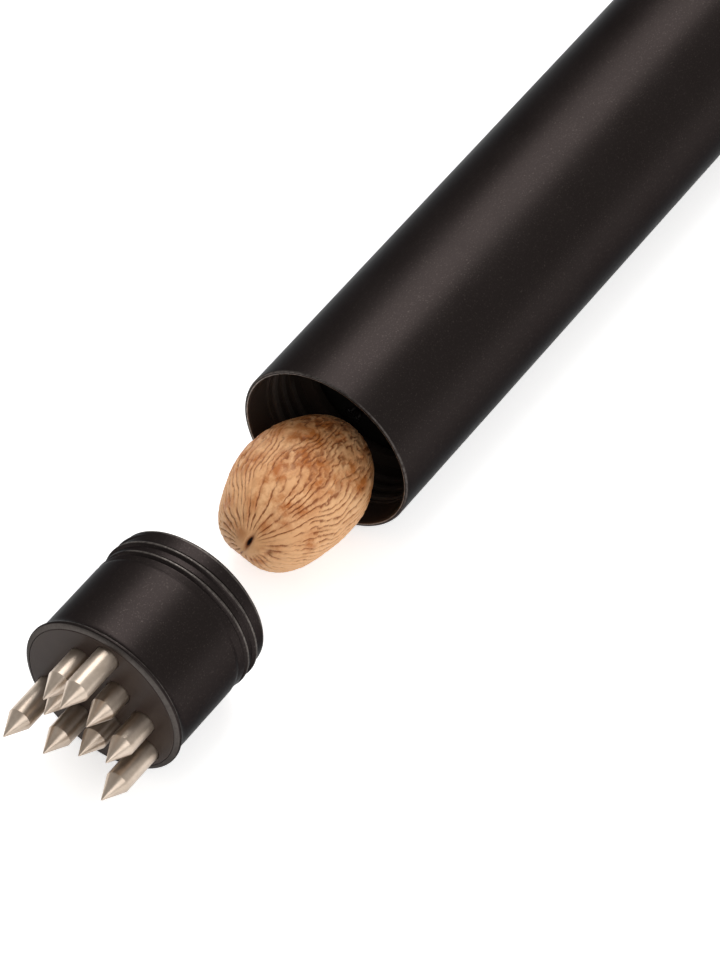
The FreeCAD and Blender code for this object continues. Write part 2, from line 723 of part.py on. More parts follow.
HOLE_SPREAD = 5.0
HOLE_RINGS = (
    ("near_ring", WINDOW_TURNS),
    ("far_ring", around(6, -HOLE_SPREAD) + around(6, HOLE_SPREAD)),
)
disc_blank = cylinder("disc_blank", "disc_radius", "disc_thickness")
disc_holes = grouped("disc_holes", [
    *[hole for ring_name, turns in HOLE_RINGS
      for hole in ring_of(
          ring_name + "_hole", cylinder, ring_name, turns, "disc_hole", "disc_thickness")],
    *ring_of("disc_screw_hole", cylinder, "disc_screw_ring", SCREW_SPOTS,
             "disc_screw_radius + seat_gap", "disc_thickness"),
])
disc_plate = joined("Part::Cut", "disc_plate", disc_blank, disc_holes)
teeth = [tooth for ring_name, turns in HOLE_RINGS
         for tooth in ring_of(ring_name + "_tooth", disc_tooth, f"{ring_name} - tooth_step", turns)]
teeth += ring_of("centre_tooth", disc_tooth, "centre_ring", around(5))
disc_whole = doc.addObject("Part::MultiFuse", "disc_whole")
disc_whole.Shapes = [disc_plate, *teeth]
keep(disc_whole, "grating_disc", "disc_depth")
disc_screw_parts = [turned("disc_screw_" + str(number), [
    ("0", "0"),
    ("0", "disc_screw_head"),
    ("disc_screw_head_width", "disc_screw_head"),
    ("disc_screw_head_width", "disc_screw_radius"),
    ("disc_screw_head_width + disc_thickness + hub_thickness", "disc_screw_radius"),
    ("disc_screw_head_width + disc_thickness + hub_thickness", "0"),
]) for number in range(len(SCREW_SPOTS))]
for part, turn in zip(disc_screw_parts, SCREW_SPOTS):
    place(part, "0", f"-disc_screw_ring * cos({turn})", f"disc_screw_ring * sin({turn})")
keep(grouped("disc_screw_group", disc_screw_parts), "disc_screws", "disc_depth - disc_screw_head_width")

# ---- spiked head: shell with its thread, plate, spikes and seal, unscrewed in front ----
HEAD_FRONT = "-(head_gap + head_length)"
THREAD_ZONE = f"({RIDGE_START} + thread_base)"
head_turning = turned("head_turning", [
    ("0", "face_radius + seat_gap"),
    ("0", "flange_radius - face_chamfer"),
    ("face_chamfer", "flange_radius"),
    ("face_chamfer + flange_width", "head_radius"),
    (f"head_length - {THREAD_ZONE}", "head_radius"),
    (f"head_length - {THREAD_ZONE}", "thread_root"),
    ("head_length - rim_width", "thread_root"),
    ("head_length", "rim_radius"),
    ("head_length", "seal_outer + seat_gap"),
    ("head_length - seal_sunk - seat_gap", "seal_outer + seat_gap"),
    ("head_length - seal_sunk - seat_gap", "seal_inner - seat_gap"),
    ("head_length", "seal_inner - seat_gap"),
    ("head_length", "cup_radius"),
    ("plate_thickness", "cup_radius"),
    ("plate_thickness", "plate_boss + seat_gap"),
    ("plate_lip", "plate_boss + seat_gap"),
    ("plate_lip", "face_radius + seat_gap"),
])
plain_head = head_turning.Shape.Volume
RIDGE_FRONT = f"(head_length - {RIDGE_START})"
helix_feature(head_turning, "AdditiveHelix", "head_thread", [
    (f"{RIDGE_FRONT} - thread_base / 2", "thread_root - seat_gap"),
    (f"{RIDGE_FRONT} - thread_crest / 2", MALE_CREST),
    (f"{RIDGE_FRONT} + thread_crest / 2", MALE_CREST),
    (f"{RIDGE_FRONT} + thread_base / 2", "thread_root - seat_gap"),
], "0", "thread_turns * thread_pitch")
if head_turning.Shape.Volume <= plain_head:
    raise RuntimeError("head_thread adds nothing")
keep(head_turning, "head_shell", HEAD_FRONT, "head_side", f"-{HEAD_DROP}")

SPIKE_RINGS = (
    ("outer_ring", around(3, value("outer_turn"))),
    ("middle_ring", around(3, value("middle_turn"))),
    ("inner_ring", around(3, value("inner_turn"))),
)
plate_turning = turned("plate_turning", [
    ("0", "0"),
    ("0", "face_radius"),
    ("plate_lip", "face_radius"),
    ("plate_lip", "plate_boss"),
    ("plate_thickness", "plate_boss"),
    ("plate_thickness", "0"),
])
spike_holes = grouped("spike_holes", [
    hole for ring_name, turns in SPIKE_RINGS
    for hole in ring_of(ring_name + "_socket", cylinder, ring_name, turns,
                        "spike_radius + seat_gap", "plate_thickness")])
keep(joined("Part::Cut", "plate_cut", plate_turning, spike_holes),
     "spike_plate", HEAD_FRONT, "head_side", f"-{HEAD_DROP}")


def spike(name, ring, turn):
    """A pointed steel spike through the plate; its short tail stands in the cup behind."""
    rise = f"(nest_rise + nest_radius - sqrt(nest_radius ^ 2 - {ring} ^ 2))"
    body = turned(name + "_turning", [
        ("0", "0"),
        ("0", "point_flat"),
        ("point_length", "spike_radius"),
        (f"{rise} + plate_thickness", "spike_radius"),
        (f"{rise} + plate_thickness", "tail_radius"),
        (f"{rise} + plate_thickness + tail_length", "point_flat"),
        (f"{rise} + plate_thickness + tail_length", "0"),
    ])
    keep(body, name, f"{HEAD_FRONT} - {rise}",
         f"head_side - {ring} * cos({turn})", f"{ring} * sin({turn}) - {HEAD_DROP}")


spots = [(ring, turn) for ring, turns in SPIKE_RINGS for turn in turns]
for number, (ring, turn) in enumerate(spots, 1):
    spike("spike_" + str(number), ring, turn)
keep(tube("seal_turning", "seal_outer", "seal_inner", "seal_sunk + seal_stand"),
     "seal_ring", "-head_gap - seal_sunk", "head_side", f"-{HEAD_DROP}")

# ---- nutmeg: lies half out of the mouth, its lowest point on the table or on the mouth ----
NUTMEG_AT_MOUTH = "(nutmeg_radius * sqrt(1 - (nutmeg_out / nutmeg_half) ^ 2))"
MOUTH_ROOM = f"(mouth_radius - nutmeg_gap / 3 - {NUTMEG_AT_MOUTH})"
ON_TABLE = f"{FLOOR} + nutmeg_radius"
ON_MOUTH = f"-sqrt({MOUTH_ROOM} ^ 2 - nutmeg_side ^ 2)"
seed = doc.addObject("Part::Ellipsoid", "seed")
seed.setExpression("Radius1", bound("nutmeg_half"))
seed.setExpression("Radius2", bound("nutmeg_radius"))
keep(seed, "nutmeg", "-nutmeg_out", "nutmeg_side", f"max({ON_TABLE}; {ON_MOUTH})", (0, 1, 0), "90")

# ---- checks, then one STEP file for each node ----
doc.recompute()
for item in doc.Objects:
    if "Invalid" in item.State or "Error" in item.State:
        raise RuntimeError(item.Label + " failed: " + ", ".join(item.State))
for node in nodes:
    if node.Shape.isNull() or not node.Shape.isValid() or not node.Shape.Solids:
        raise RuntimeError(node.Label + " has no valid solid")
os.makedirs("parts", exist_ok=True)
for node in nodes:
    node.Shape.exportStep("parts/" + node.Label + ".step")
print(len(nodes), "nodes written")
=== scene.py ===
import bpy
import math
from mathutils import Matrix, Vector, noise


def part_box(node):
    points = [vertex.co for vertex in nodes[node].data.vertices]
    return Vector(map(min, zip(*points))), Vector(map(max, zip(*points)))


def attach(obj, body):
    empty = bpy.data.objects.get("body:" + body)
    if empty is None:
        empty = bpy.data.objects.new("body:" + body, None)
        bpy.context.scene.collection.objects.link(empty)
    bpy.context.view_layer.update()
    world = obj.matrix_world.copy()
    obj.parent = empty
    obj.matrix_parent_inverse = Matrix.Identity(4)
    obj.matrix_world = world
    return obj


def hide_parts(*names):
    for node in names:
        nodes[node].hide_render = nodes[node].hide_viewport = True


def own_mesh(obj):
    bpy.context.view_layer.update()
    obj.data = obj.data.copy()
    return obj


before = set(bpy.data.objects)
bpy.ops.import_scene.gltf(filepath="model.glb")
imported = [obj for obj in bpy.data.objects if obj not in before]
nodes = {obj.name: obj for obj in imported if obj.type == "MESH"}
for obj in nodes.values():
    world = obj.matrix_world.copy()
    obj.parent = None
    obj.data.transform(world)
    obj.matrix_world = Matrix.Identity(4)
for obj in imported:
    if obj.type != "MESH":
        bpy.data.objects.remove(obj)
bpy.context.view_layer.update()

# ---- barrel ----
# A drawn aluminium tube, bored out and threaded inside its mouth, milled with a slot underneath
# for the powder and drilled for three screws, then anodised black. Its axis is the X axis, and
# sizes are in mm, which MM turns into metres.
MM = 0.001
MOUTH = -75.0
BARREL_END = 75.0
BARREL_RADIUS = 15.0
BARREL_STEPS = 192
LIP_BORE = 14.2
LIP_BORE_DEPTH = 4.8
THREAD_PITCH = 2.1
GROOVE_FLOOR = 13.82
SEAT = MOUTH + 12.6
SEAT_WIDTH = 1.4
SEAT_RADIUS = 11.3
CHAMBER_RADIUS = 12.3
CAP_SCREWS_AT = 69.0
SCREW_HOLE_RADIUS = 1.27
SCREW_HOLE_DEPTH = 5.01
SCREW_HOLE_MIDDLE = 11.205
COUNTERSINK_RADIUS = 2.32
COUNTERSINK_DEPTH = 1.05
SLOT_START = -34.0
SLOT_STRAIGHT = 14.0
SLOT_WIDTH = 10.0
DYED_BLACK = "272221"
DYED_BLACK_PALER = "2d2827"
WORN_ALUMINIUM = "9a938d"


def drawn(name, outline, at=(0.0, 0.0)):
    """Draw an outline of (along, radius) points above a line along X: a vertex, extruded on."""
    across, up = at
    spots = [Vector((along, across, up + radius)) * MM for along, radius in outline]
    bpy.ops.object.select_all(action="DESELECT")
    bpy.ops.mesh.primitive_plane_add(size=MM)
    piece = bpy.context.object
    piece.name = piece.data.name = name
    bpy.ops.object.mode_set(mode="EDIT")
    bpy.ops.mesh.merge(type="CENTER")
    bpy.ops.transform.translate(value=spots[0])
    for before, after in zip(spots, spots[1:]):
        bpy.ops.mesh.extrude_region_move(TRANSFORM_OT_translate={"value": after - before})
    bpy.ops.mesh.select_all(action="SELECT")
    bpy.ops.mesh.remove_doubles(threshold=MM / 1000)
    return piece


def turned(name, outline, at=(0.0, 0.0), steps=96, edge=0.0):
    """Turn a piece: spin its outline round its axis and round its corners. A ring or tube ends
    its outline at the point where it started."""
    piece = drawn(name, outline, at)
    bpy.ops.mesh.spin(steps=steps, angle=math.tau, center=(0, at[0] * MM, at[1] * MM),
                      axis=(1, 0, 0))
    bpy.ops.mesh.select_all(action="SELECT")
    bpy.ops.mesh.remove_doubles(threshold=MM / 1000)
    bpy.ops.mesh.normals_make_consistent(inside=False)
    bpy.ops.object.mode_set(mode="OBJECT")
    if edge:
        apply_modifier(piece, "BEVEL", width=edge * MM, segments=3, limit_method="ANGLE",
                       angle_limit=math.radians(28))
    return piece


def apply_modifier(piece, kind, **settings):
    """Give a piece one modifier with its settings, and apply it."""
    bpy.ops.object.select_all(action="DESELECT")
    piece.select_set(True)
    bpy.context.view_layer.objects.active = piece
    modifier = piece.modifiers.new(kind.lower(), kind)
    for setting, value in settings.items():
        setattr(modifier, setting, value)
    bpy.ops.object.modifier_apply(modifier=modifier.name)


def cut(piece, tool):
    """Cut a piece with a tool solid, and take the tool away."""
    apply_modifier(piece, "BOOLEAN", object=tool, operation="DIFFERENCE", solver="EXACT")
    bpy.data.objects.remove(tool)


def moved(piece, offset=(0, 0, 0), turn=0.0):
    """Turn a piece round the X axis, move it, and leave its place in its mesh."""
    bpy.ops.object.select_all(action="DESELECT")
    piece.select_set(True)
    bpy.context.view_layer.objects.active = piece
    if turn:
        bpy.ops.transform.rotate(value=-math.radians(turn), orient_axis="X",
                                 center_override=(0, 0, 0))
    bpy.ops.transform.translate(value=Vector(offset) * MM)
    bpy.ops.object.transform_apply(location=True, rotation=True, scale=True)
    return piece


def smooth(piece, angle=30.0):
    """Shade a finished piece smooth, with its corners kept and its flats even."""
    bpy.ops.object.select_all(action="DESELECT")
    piece.select_set(True)
    bpy.context.view_layer.objects.active = piece
    bpy.ops.object.shade_smooth_by_angle(angle=math.radians(angle))
    apply_modifier(piece, "WEIGHTED_NORMAL", keep_sharp=True)


def wound(name, section, pitch, turns, steps=160):
    """Wind a section, drawn above the axis, into a right-handed helix with a Screw modifier."""
    strip = drawn(name, [*section, section[0]])
    bpy.ops.object.mode_set(mode="OBJECT")
    apply_modifier(strip, "SCREW", axis="X", angle=math.tau * turns, steps=round(steps * turns),
                   render_steps=round(steps * turns), screw_offset=pitch * turns * MM)
    bpy.ops.object.mode_set(mode="EDIT")
    bpy.ops.mesh.select_all(action="SELECT")
    bpy.ops.mesh.fill_holes(sides=0)
    bpy.ops.mesh.select_all(action="SELECT")
    bpy.ops.mesh.normals_make_consistent(inside=False)
    bpy.ops.object.mode_set(mode="OBJECT")
    return strip


def thread_ridge(piece, section, root, turns, turn=0.0, at=(0.0, 0.0)):
    """Wind a thread's ridge, let both its ends run out into the wall at the root's radius,
    and join it to its piece."""
    ridge = wound("ridge", section, THREAD_PITCH, turns)
    middle = sum(along for along, radius in section) / len(section)
    outward = 1.0 if section[0][1] < root else -1.0
    buried = root - outward * 0.12
    for vertex in ridge.data.vertices:
        radius = math.hypot(vertex.co.y, vertex.co.z) / MM
        share = (math.atan2(-vertex.co.y, vertex.co.z) / math.tau) % 1.0
        done = share + round((vertex.co.x / MM - middle) / THREAD_PITCH - share)
        fade = max(0.0, min(1.0, done * 6, (turns - done) * 6))
        vertex.co.yz *= (buried + (radius - buried) * fade) / radius
    moved(ridge, (0, *at), turn)
    piece.select_set(True)
    bpy.context.view_layer.objects.active = piece
    bpy.ops.object.join()


def linear(code):
    """An sRGB hex colour as the linear values that a shader takes."""
    shares = [int(code[place:place + 2], 16) / 255 for place in (0, 2, 4)]
    return (*(share / 12.92 if share <= 0.04045 else ((share + 0.055) / 1.055) ** 2.4
              for share in shares), 1.0)


def new_material(name):
    """An empty node material and its node tree."""
    material = bpy.data.materials.new(name)
    material.use_nodes = True
    material.node_tree.nodes.clear()
    return material, material.node_tree


def add(tree, kind, sockets, **settings):
    """Add one node: its own settings, then each input's value or the output linked to it."""
    node = tree.nodes.new("ShaderNode" + kind)
    for setting, value in settings.items():
        setattr(node, setting, value)
    for place, value in sockets.items():
        if isinstance(value, bpy.types.NodeSocket):
            tree.links.new(value, node.inputs[place])
        else:
            node.inputs[place].default_value = value
    return node


def dress(pieces, material):
    """Give every piece this one material."""
    for piece in pieces:
        piece.data.materials.clear()
        piece.data.materials.append(material)


def anodised_aluminium(name, worn, at=(0.0, 0.0), inside=0.0):
    """Aluminium dyed black under a clear oxide. It looks warm black and satin, a little cloudy,
    with fine dust. Nearer the axis than the inside radius it is painted a paler brown and not
    metal: painted light in the bore, where little light reaches.
    The dye takes the light that comes in low, so its edges stay dark: that is the grey tint. The
    rubbing's 0.7 mm and the dust's 0.24 mm are coarser than real ones, so that they show. Each
    worn zone (from x, to x, from radius, to radius, how much, how evenly) is rubbed or turned
    down to grey metal."""
    material, tree = new_material(name)
    spot = add(tree, "TexCoord", {}).outputs["Object"]
    centred = add(tree, "Mapping", {0: spot, 1: (0, -at[0] * MM, -at[1] * MM)}).outputs[0]
    apart = add(tree, "SeparateXYZ", {0: centred})
    flat = add(tree, "CombineXYZ", {"Y": apart.outputs["Y"], "Z": apart.outputs["Z"]})
    radius = add(tree, "VectorMath", {0: flat.outputs[0]}, operation="LENGTH").outputs["Value"]
    cloud = add(tree, "TexNoise", {"Vector": spot, "Scale": 0.07 / MM, "Detail": 4.0,
                                   "Roughness": 0.6})
    rub = add(tree, "TexNoise", {"Vector": spot, "Scale": 1.5 / MM, "Detail": 4.0,
                                 "Roughness": 0.75})
    grit = add(tree, "TexNoise", {"Vector": spot, "Scale": 4.2 / MM, "Detail": 2.0,
                                  "Roughness": 0.6})
    bare = 0.0
    for from_x, to_x, from_radius, to_radius, strength, evenness in worn:
        zone = add(tree, "MapRange", {0: rub.outputs[0], 1: 0.36, 2: 0.60, 3: strength * evenness,
                                      4: strength}).outputs[0]
        for place, first, last in ((apart.outputs["X"], from_x, to_x),
                                   (radius, from_radius, to_radius)):
            for edge, inward in ((first, 0.04), (last, -0.04)):
                share = add(tree, "MapRange", {0: place, 1: (edge - inward) * MM,
                                               2: (edge + inward) * MM},
                            interpolation_type="SMOOTHSTEP").outputs[0]
                zone = add(tree, "Math", {0: zone, 1: share}, operation="MULTIPLY").outputs[0]
        bare = add(tree, "Math", {0: zone, 1: bare}, operation="MAXIMUM").outputs[0]
    dust = add(tree, "MapRange", {0: grit.outputs[0], 1: 0.58, 2: 0.76, 4: 0.24})
    # nearer the axis than the inside radius: paler brown and not metal, painted light in the bore
    painted_bore_light = add(tree, "MapRange", {0: radius, 1: (inside + 0.02) * MM, 2: (inside - 0.02) * MM,
                                  4: 0.75})
    dye = add(tree, "Mix", {0: cloud.outputs[0], 6: linear(DYED_BLACK),
                            7: linear(DYED_BLACK_PALER)}, data_type="RGBA")
    with_painted_bore_light = add(tree, "Mix", {0: painted_bore_light.outputs[0], 6: dye.outputs[2], 7: linear("3c322b")},
                 data_type="RGBA")
    dusty = add(tree, "Mix", {0: dust.outputs[0], 6: with_painted_bore_light.outputs[2], 7: linear("6b625d")},
                data_type="RGBA")
    colour = add(tree, "Mix", {0: bare, 6: dusty.outputs[2], 7: linear(WORN_ALUMINIUM)},
                 data_type="RGBA")
    grain = add(tree, "Bump", {"Strength": 0.22, "Distance": 0.02 * MM, "Height": rub.outputs[0]})
    shine = add(tree, "MapRange", {0: cloud.outputs[0], 1: 0.3, 2: 0.7, 3: 0.34, 4: 0.42})
    metal = add(tree, "MapRange", {0: painted_bore_light.outputs[0], 2: 0.75, 3: 1.0, 4: 0.0})
    surface = add(tree, "BsdfPrincipled", {
        "Base Color": colour.outputs[2], "Metallic": metal.outputs[0],
        "Roughness": shine.outputs[0], "Specular IOR Level": 0.13,
        "Specular Tint": linear("aeb0b1"), "Normal": grain.outputs[0]})
    add(tree, "OutputMaterial", {"Surface": surface.outputs[0]})
    return material


barrel = turned("barrel_tube", [
    (MOUTH, BARREL_RADIUS - 0.36), (MOUTH + 0.10, BARREL_RADIUS - 0.10),
    (MOUTH + 0.36, BARREL_RADIUS),
    (BARREL_END - 0.3, BARREL_RADIUS), (BARREL_END, BARREL_RADIUS - 0.3),
    (BARREL_END, CHAMBER_RADIUS), (SEAT + SEAT_WIDTH, CHAMBER_RADIUS),
    (SEAT + SEAT_WIDTH, SEAT_RADIUS), (SEAT, SEAT_RADIUS), (SEAT, GROOVE_FLOOR),
    (MOUTH + LIP_BORE_DEPTH, GROOVE_FLOOR), (MOUTH + LIP_BORE_DEPTH, LIP_BORE),
    (MOUTH + 0.27, LIP_BORE), (MOUTH, LIP_BORE + 0.27), (MOUTH, BARREL_RADIUS - 0.36),
], steps=BARREL_STEPS, edge=0.06)


def copied(piece, name, offset=(0, 0, 0), turn=0.0):
    """A copy of a piece with its own mesh, turned round the X axis and moved."""
    bpy.ops.object.select_all(action="DESELECT")
    piece.select_set(True)
    bpy.context.view_layer.objects.active = piece
    bpy.ops.object.duplicate()
    twin = bpy.context.object
    twin.name = twin.data.name = name
    return moved(twin, offset, turn)


def join(pieces):
    """Join pieces into the first of them."""
    bpy.ops.object.select_all(action="DESELECT")
    for piece in pieces:
        piece.select_set(True)
    bpy.context.view_layer.objects.active = pieces[0]
    bpy.ops.object.join()
    return pieces[0]


def screw_hole_tool():
    """Three countersink cutters that point outwards round the rear cap's screws."""
    bpy.ops.object.select_all(action="DESELECT")
    bpy.ops.mesh.primitive_cylinder_add(
        vertices=48, radius=SCREW_HOLE_RADIUS * MM, depth=SCREW_HOLE_DEPTH * MM,
        location=(CAP_SCREWS_AT * MM, 0, SCREW_HOLE_MIDDLE * MM))
    tool = bpy.context.object
    bpy.ops.object.transform_apply(location=True, rotation=True, scale=True)
    bpy.ops.object.mode_set(mode="EDIT")
    bpy.ops.mesh.select_mode(type="FACE")
    bpy.ops.mesh.select_all(action="DESELECT")
    bpy.ops.object.mode_set(mode="OBJECT")
    for face in tool.data.polygons:
        face.select = face.normal.z > 0.9
    bpy.ops.object.mode_set(mode="EDIT")
    bpy.ops.mesh.extrude_region_move(
        TRANSFORM_OT_translate={"value": (0, 0, COUNTERSINK_DEPTH * MM)})
    widening = COUNTERSINK_RADIUS / SCREW_HOLE_RADIUS
    bpy.ops.transform.resize(value=(widening, widening, 1))
    bpy.ops.mesh.extrude_region_move(TRANSFORM_OT_translate={"value": (0, 0, 2.0 * MM)})
    bpy.ops.object.mode_set(mode="OBJECT")
    return join([tool, copied(tool, "second_hole", turn=120), copied(tool, "third_hole", turn=240)])


def pull(piece, chosen, offset):
    """Move the corners that a test chooses, which draws a round piece out into a long one."""
    bpy.ops.object.mode_set(mode="EDIT")
    bpy.ops.mesh.select_mode(type="VERT")
    bpy.ops.mesh.select_all(action="DESELECT")
    bpy.ops.object.mode_set(mode="OBJECT")
    for vertex in piece.data.vertices:
        vertex.select = chosen(vertex.co / MM)
    bpy.ops.object.mode_set(mode="EDIT")
    bpy.ops.transform.translate(value=Vector(offset) * MM)
    bpy.ops.object.mode_set(mode="OBJECT")


cut(barrel, screw_hole_tool())
# the powder slot's cutter: an upright bar with round ends
bpy.ops.object.select_all(action="DESELECT")
bpy.ops.mesh.primitive_cylinder_add(vertices=64, radius=SLOT_WIDTH / 2 * MM, depth=12 * MM,
                                    location=(SLOT_START * MM, 0, -13 * MM))
slot_tool = bpy.context.object
bpy.ops.object.transform_apply(location=True, rotation=True, scale=True)
pull(slot_tool, lambda corner: corner.x > SLOT_START + 0.01, (SLOT_STRAIGHT, 0, 0))
cut(barrel, slot_tool)
# the female thread: what the boring tool left standing between its turns
LAND_START = -69.65
LAND_RADIUS = 13.40
LAND_TURNS = 2.64
thread_ridge(barrel, [
    (LAND_START - 0.60, GROOVE_FLOOR + 0.12), (LAND_START - 0.42, LAND_RADIUS + 0.06),
    (LAND_START - 0.34, LAND_RADIUS), (LAND_START + 0.34, LAND_RADIUS),
    (LAND_START + 0.42, LAND_RADIUS + 0.06), (LAND_START + 0.60, GROOVE_FLOOR + 0.12),
], GROOVE_FLOOR, LAND_TURNS, turn=85.0)
smooth(barrel)
# worn: the bore's chamfer, the outer edge of the mouth, and the thread's lands
# inside the bore the anodising is painted paler: painted light where little light reaches
dress([barrel], anodised_aluminium("barrel_black_anodising", [
    (MOUTH - 0.1, MOUTH + 0.10, LIP_BORE + 0.14, LIP_BORE + 0.35, 0.9, 0.4),
    (MOUTH + 0.02, MOUTH + 0.3, BARREL_RADIUS - 0.28, BARREL_RADIUS - 0.04, 0.20, 0.2),
    (MOUTH + LIP_BORE_DEPTH, MOUTH + 11.4, LAND_RADIUS - 0.1, LAND_RADIUS + 0.04, 0.10, 0.6),
], inside=LIP_BORE + 0.1))
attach(barrel, "barrel")
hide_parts("barrel")


def machined_metal(name, colour, darker, rough, ring_gap, ring_depth):
    """Bare turned or milled metal. It looks softly bright, cloudy where it was handled, and
    carries the rings that a lathe tool leaves, ring_gap mm apart: coarser than real ones, so
    that they show. A wave texture's bands lie pi / 10 over its scale apart."""
    material, tree = new_material(name)
    spot = add(tree, "TexCoord", {}).outputs["Object"]
    rings = add(tree, "TexWave", {"Vector": spot, "Scale": math.pi / 10 / (ring_gap * MM),
                                  "Distortion": 0.8, "Detail": 2.0, "Detail Scale": 2.0},
                bands_direction="X")
    cloud = add(tree, "TexNoise", {"Vector": spot, "Scale": 0.26 / MM, "Detail": 4.0,
                                   "Roughness": 0.6})
    shade = add(tree, "Mix", {0: cloud.outputs[0], 6: linear(colour), 7: linear(darker)},
                data_type="RGBA")
    matt = add(tree, "MapRange", {0: cloud.outputs[0], 1: 0.3, 2: 0.7, 3: rough - 0.05,
                                  4: rough + 0.07})
    grain = add(tree, "Bump", {"Strength": ring_depth, "Distance": 0.01 * MM,
                               "Height": rings.outputs[0]})
    surface = add(tree, "BsdfPrincipled", {"Base Color": shade.outputs[2], "Metallic": 1.0,
                                           "Roughness": matt.outputs[0],
                                           "Normal": grain.outputs[0]})
    add(tree, "OutputMaterial", {"Surface": surface.outputs[0]})
    return material


bare_aluminium = machined_metal("machined_aluminium", "c3c2bf", "a9a8a6", 0.36, 0.35, 0.25)
bronze = machined_metal("sintered_bronze", "a98152", "7f5d38", 0.45, 0.3, 0.15)
dress([nodes["bearing_bridge"], nodes["rotor_hub"]], bare_aluminium)
dress([nodes["front_bush"], nodes["rear_bush"], nodes["thrust_washer"]], bronze)

# ---- spindle and its fittings ----
# Stainless steel bar, turned and drilled across for the drive pin and the spring collar's pin,
# with a sprung ring in a groove that keeps it from sliding out.
plain_steel = machined_metal("turned_stainless_steel", "c2bdb5", "a39d94", 0.28, 0.25, 0.2)
dress([nodes[name] for name in ("spindle", "drive_pin", "spring_collar", "collar_pin",
                                "retaining_ring", "cap_screws", "crank_nut", "knob_pin",
                                "disc_screws")], plain_steel)

# ---- feed spring ----
# Ten turns of hard drawn steel wire between the rotor and the collar. It pushes the grating
# disc against the nutmeg and shortens as the head is screwed on.
WIRE_RADIUS = 0.6
COIL_RADIUS = 7.35
COIL_START = -56.7
COIL_PITCH = 4.5
spring = wound("feed_spring_coil", [
    (COIL_START + WIRE_RADIUS * math.cos(math.tau * part / 12),
     COIL_RADIUS + WIRE_RADIUS * math.sin(math.tau * part / 12)) for part in range(12)
], COIL_PITCH, 10, steps=36)
smooth(spring, 40.0)
dress([spring], machined_metal("oiled_spring_steel", "77716a", "4d4742", 0.34, 0.9, 0.1))
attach(spring, "spindle")
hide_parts("feed_spring")
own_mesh(spring)

# ---- grating disc ----
# Hardened carbon steel, pierced so that each hole stands up in a tooth, and blackened.


def blackened_steel():
    """Heat-blackened steel: near black, faintly blue-brown, dull, with bare specks of steel."""
    material, tree = new_material("blackened_carbon_steel")
    spot = add(tree, "TexCoord", {}).outputs["Object"]
    cloud = add(tree, "TexNoise", {"Vector": spot, "Scale": 0.42 / MM, "Detail": 5.0,
                                   "Roughness": 0.65})
    speck = add(tree, "TexNoise", {"Vector": spot, "Scale": 3.0 / MM, "Detail": 2.0})
    shade = add(tree, "Mix", {0: cloud.outputs[0], 6: linear("15120f"), 7: linear("28231f")},
                data_type="RGBA")
    rubbed = add(tree, "MapRange", {0: speck.outputs[0], 1: 0.70, 2: 0.85, 4: 0.3})
    colour = add(tree, "Mix", {0: rubbed.outputs[0], 6: shade.outputs[2], 7: linear("6e675f")},
                 data_type="RGBA")
    surface = add(tree, "BsdfPrincipled", {"Base Color": colour.outputs[2], "Metallic": 0.6,
                                           "Roughness": 0.5})
    add(tree, "OutputMaterial", {"Surface": surface.outputs[0]})
    return material


dress([nodes["grating_disc"]], blackened_steel())

# ---- rear cap ----
# Turned from aluminium bar and anodised with the barrel: its spigot fits inside the barrel's
# end, held by the three countersunk screws, and its middle carries the rear bush.
CAP_END = 80.0
CAP_BORE = 6.02
SPIGOT_START = 63.0
SPIGOT_RADIUS = 12.28
cap = turned("rear_cap_turning", [
    (SPIGOT_START, CAP_BORE), (SPIGOT_START, SPIGOT_RADIUS), (BARREL_END, SPIGOT_RADIUS),
    (BARREL_END, BARREL_RADIUS - 0.2), (BARREL_END + 0.2, BARREL_RADIUS),
    (CAP_END - 1.2, BARREL_RADIUS), (CAP_END - 0.75, 14.86), (CAP_END - 0.32, 14.5),
    (CAP_END, 13.8), (CAP_END, 9.2), (CAP_END - 0.25, 8.95), (CAP_END - 0.25, 8.6),
    (CAP_END, 8.35), (CAP_END, CAP_BORE), (SPIGOT_START, CAP_BORE),
], steps=BARREL_STEPS, edge=0.05)
cut(cap, screw_hole_tool())
smooth(cap)
dress([cap], anodised_aluminium("cap_black_anodising", [
    (CAP_END - 1.1, CAP_END - 0.5, BARREL_RADIUS - 0.35, BARREL_RADIUS - 0.02, 0.22, 0.2)]))
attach(cap, "barrel")
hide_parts("rear_cap")

# ---- crank arm ----
# A flat aluminium bar with round ends, milled, chamfered all round and anodised black. It sits
# on the spindle's square under a domed nut, and the knob's pin is screwed into its far end.
ARM_FACE = 80.88
ARM_THICKNESS = 5.0
ARM_HALF_WIDTH = 6.5
SPINDLE_HOLE_RADIUS = 2.85
PIN_HOLE_RADIUS = 2.52
CRANK_REACH = 45.0
KNOB_UP = -6.5
ARM_TURN = math.degrees(math.asin(KNOB_UP / CRANK_REACH))
bpy.ops.object.select_all(action="DESELECT")
bpy.ops.mesh.primitive_circle_add(vertices=96, radius=ARM_HALF_WIDTH * MM, fill_type="NGON",
                                  rotation=(0, math.pi / 2, 0))
arm = bpy.context.object
arm.name = arm.data.name = "crank_arm_bar"
bpy.ops.object.transform_apply(location=True, rotation=True, scale=True)
pull(arm, lambda corner: corner.y > 0.01, (0, CRANK_REACH, 0))
bpy.ops.object.mode_set(mode="EDIT")
bpy.ops.mesh.select_all(action="SELECT")
bpy.ops.mesh.extrude_region_move(TRANSFORM_OT_translate={"value": (ARM_THICKNESS * MM, 0, 0)})
bpy.ops.mesh.select_all(action="SELECT")
bpy.ops.mesh.normals_make_consistent(inside=False)
bpy.ops.object.mode_set(mode="OBJECT")
apply_modifier(arm, "BEVEL", width=0.75 * MM, segments=2, profile=0.6, limit_method="ANGLE",
               angle_limit=math.radians(50))
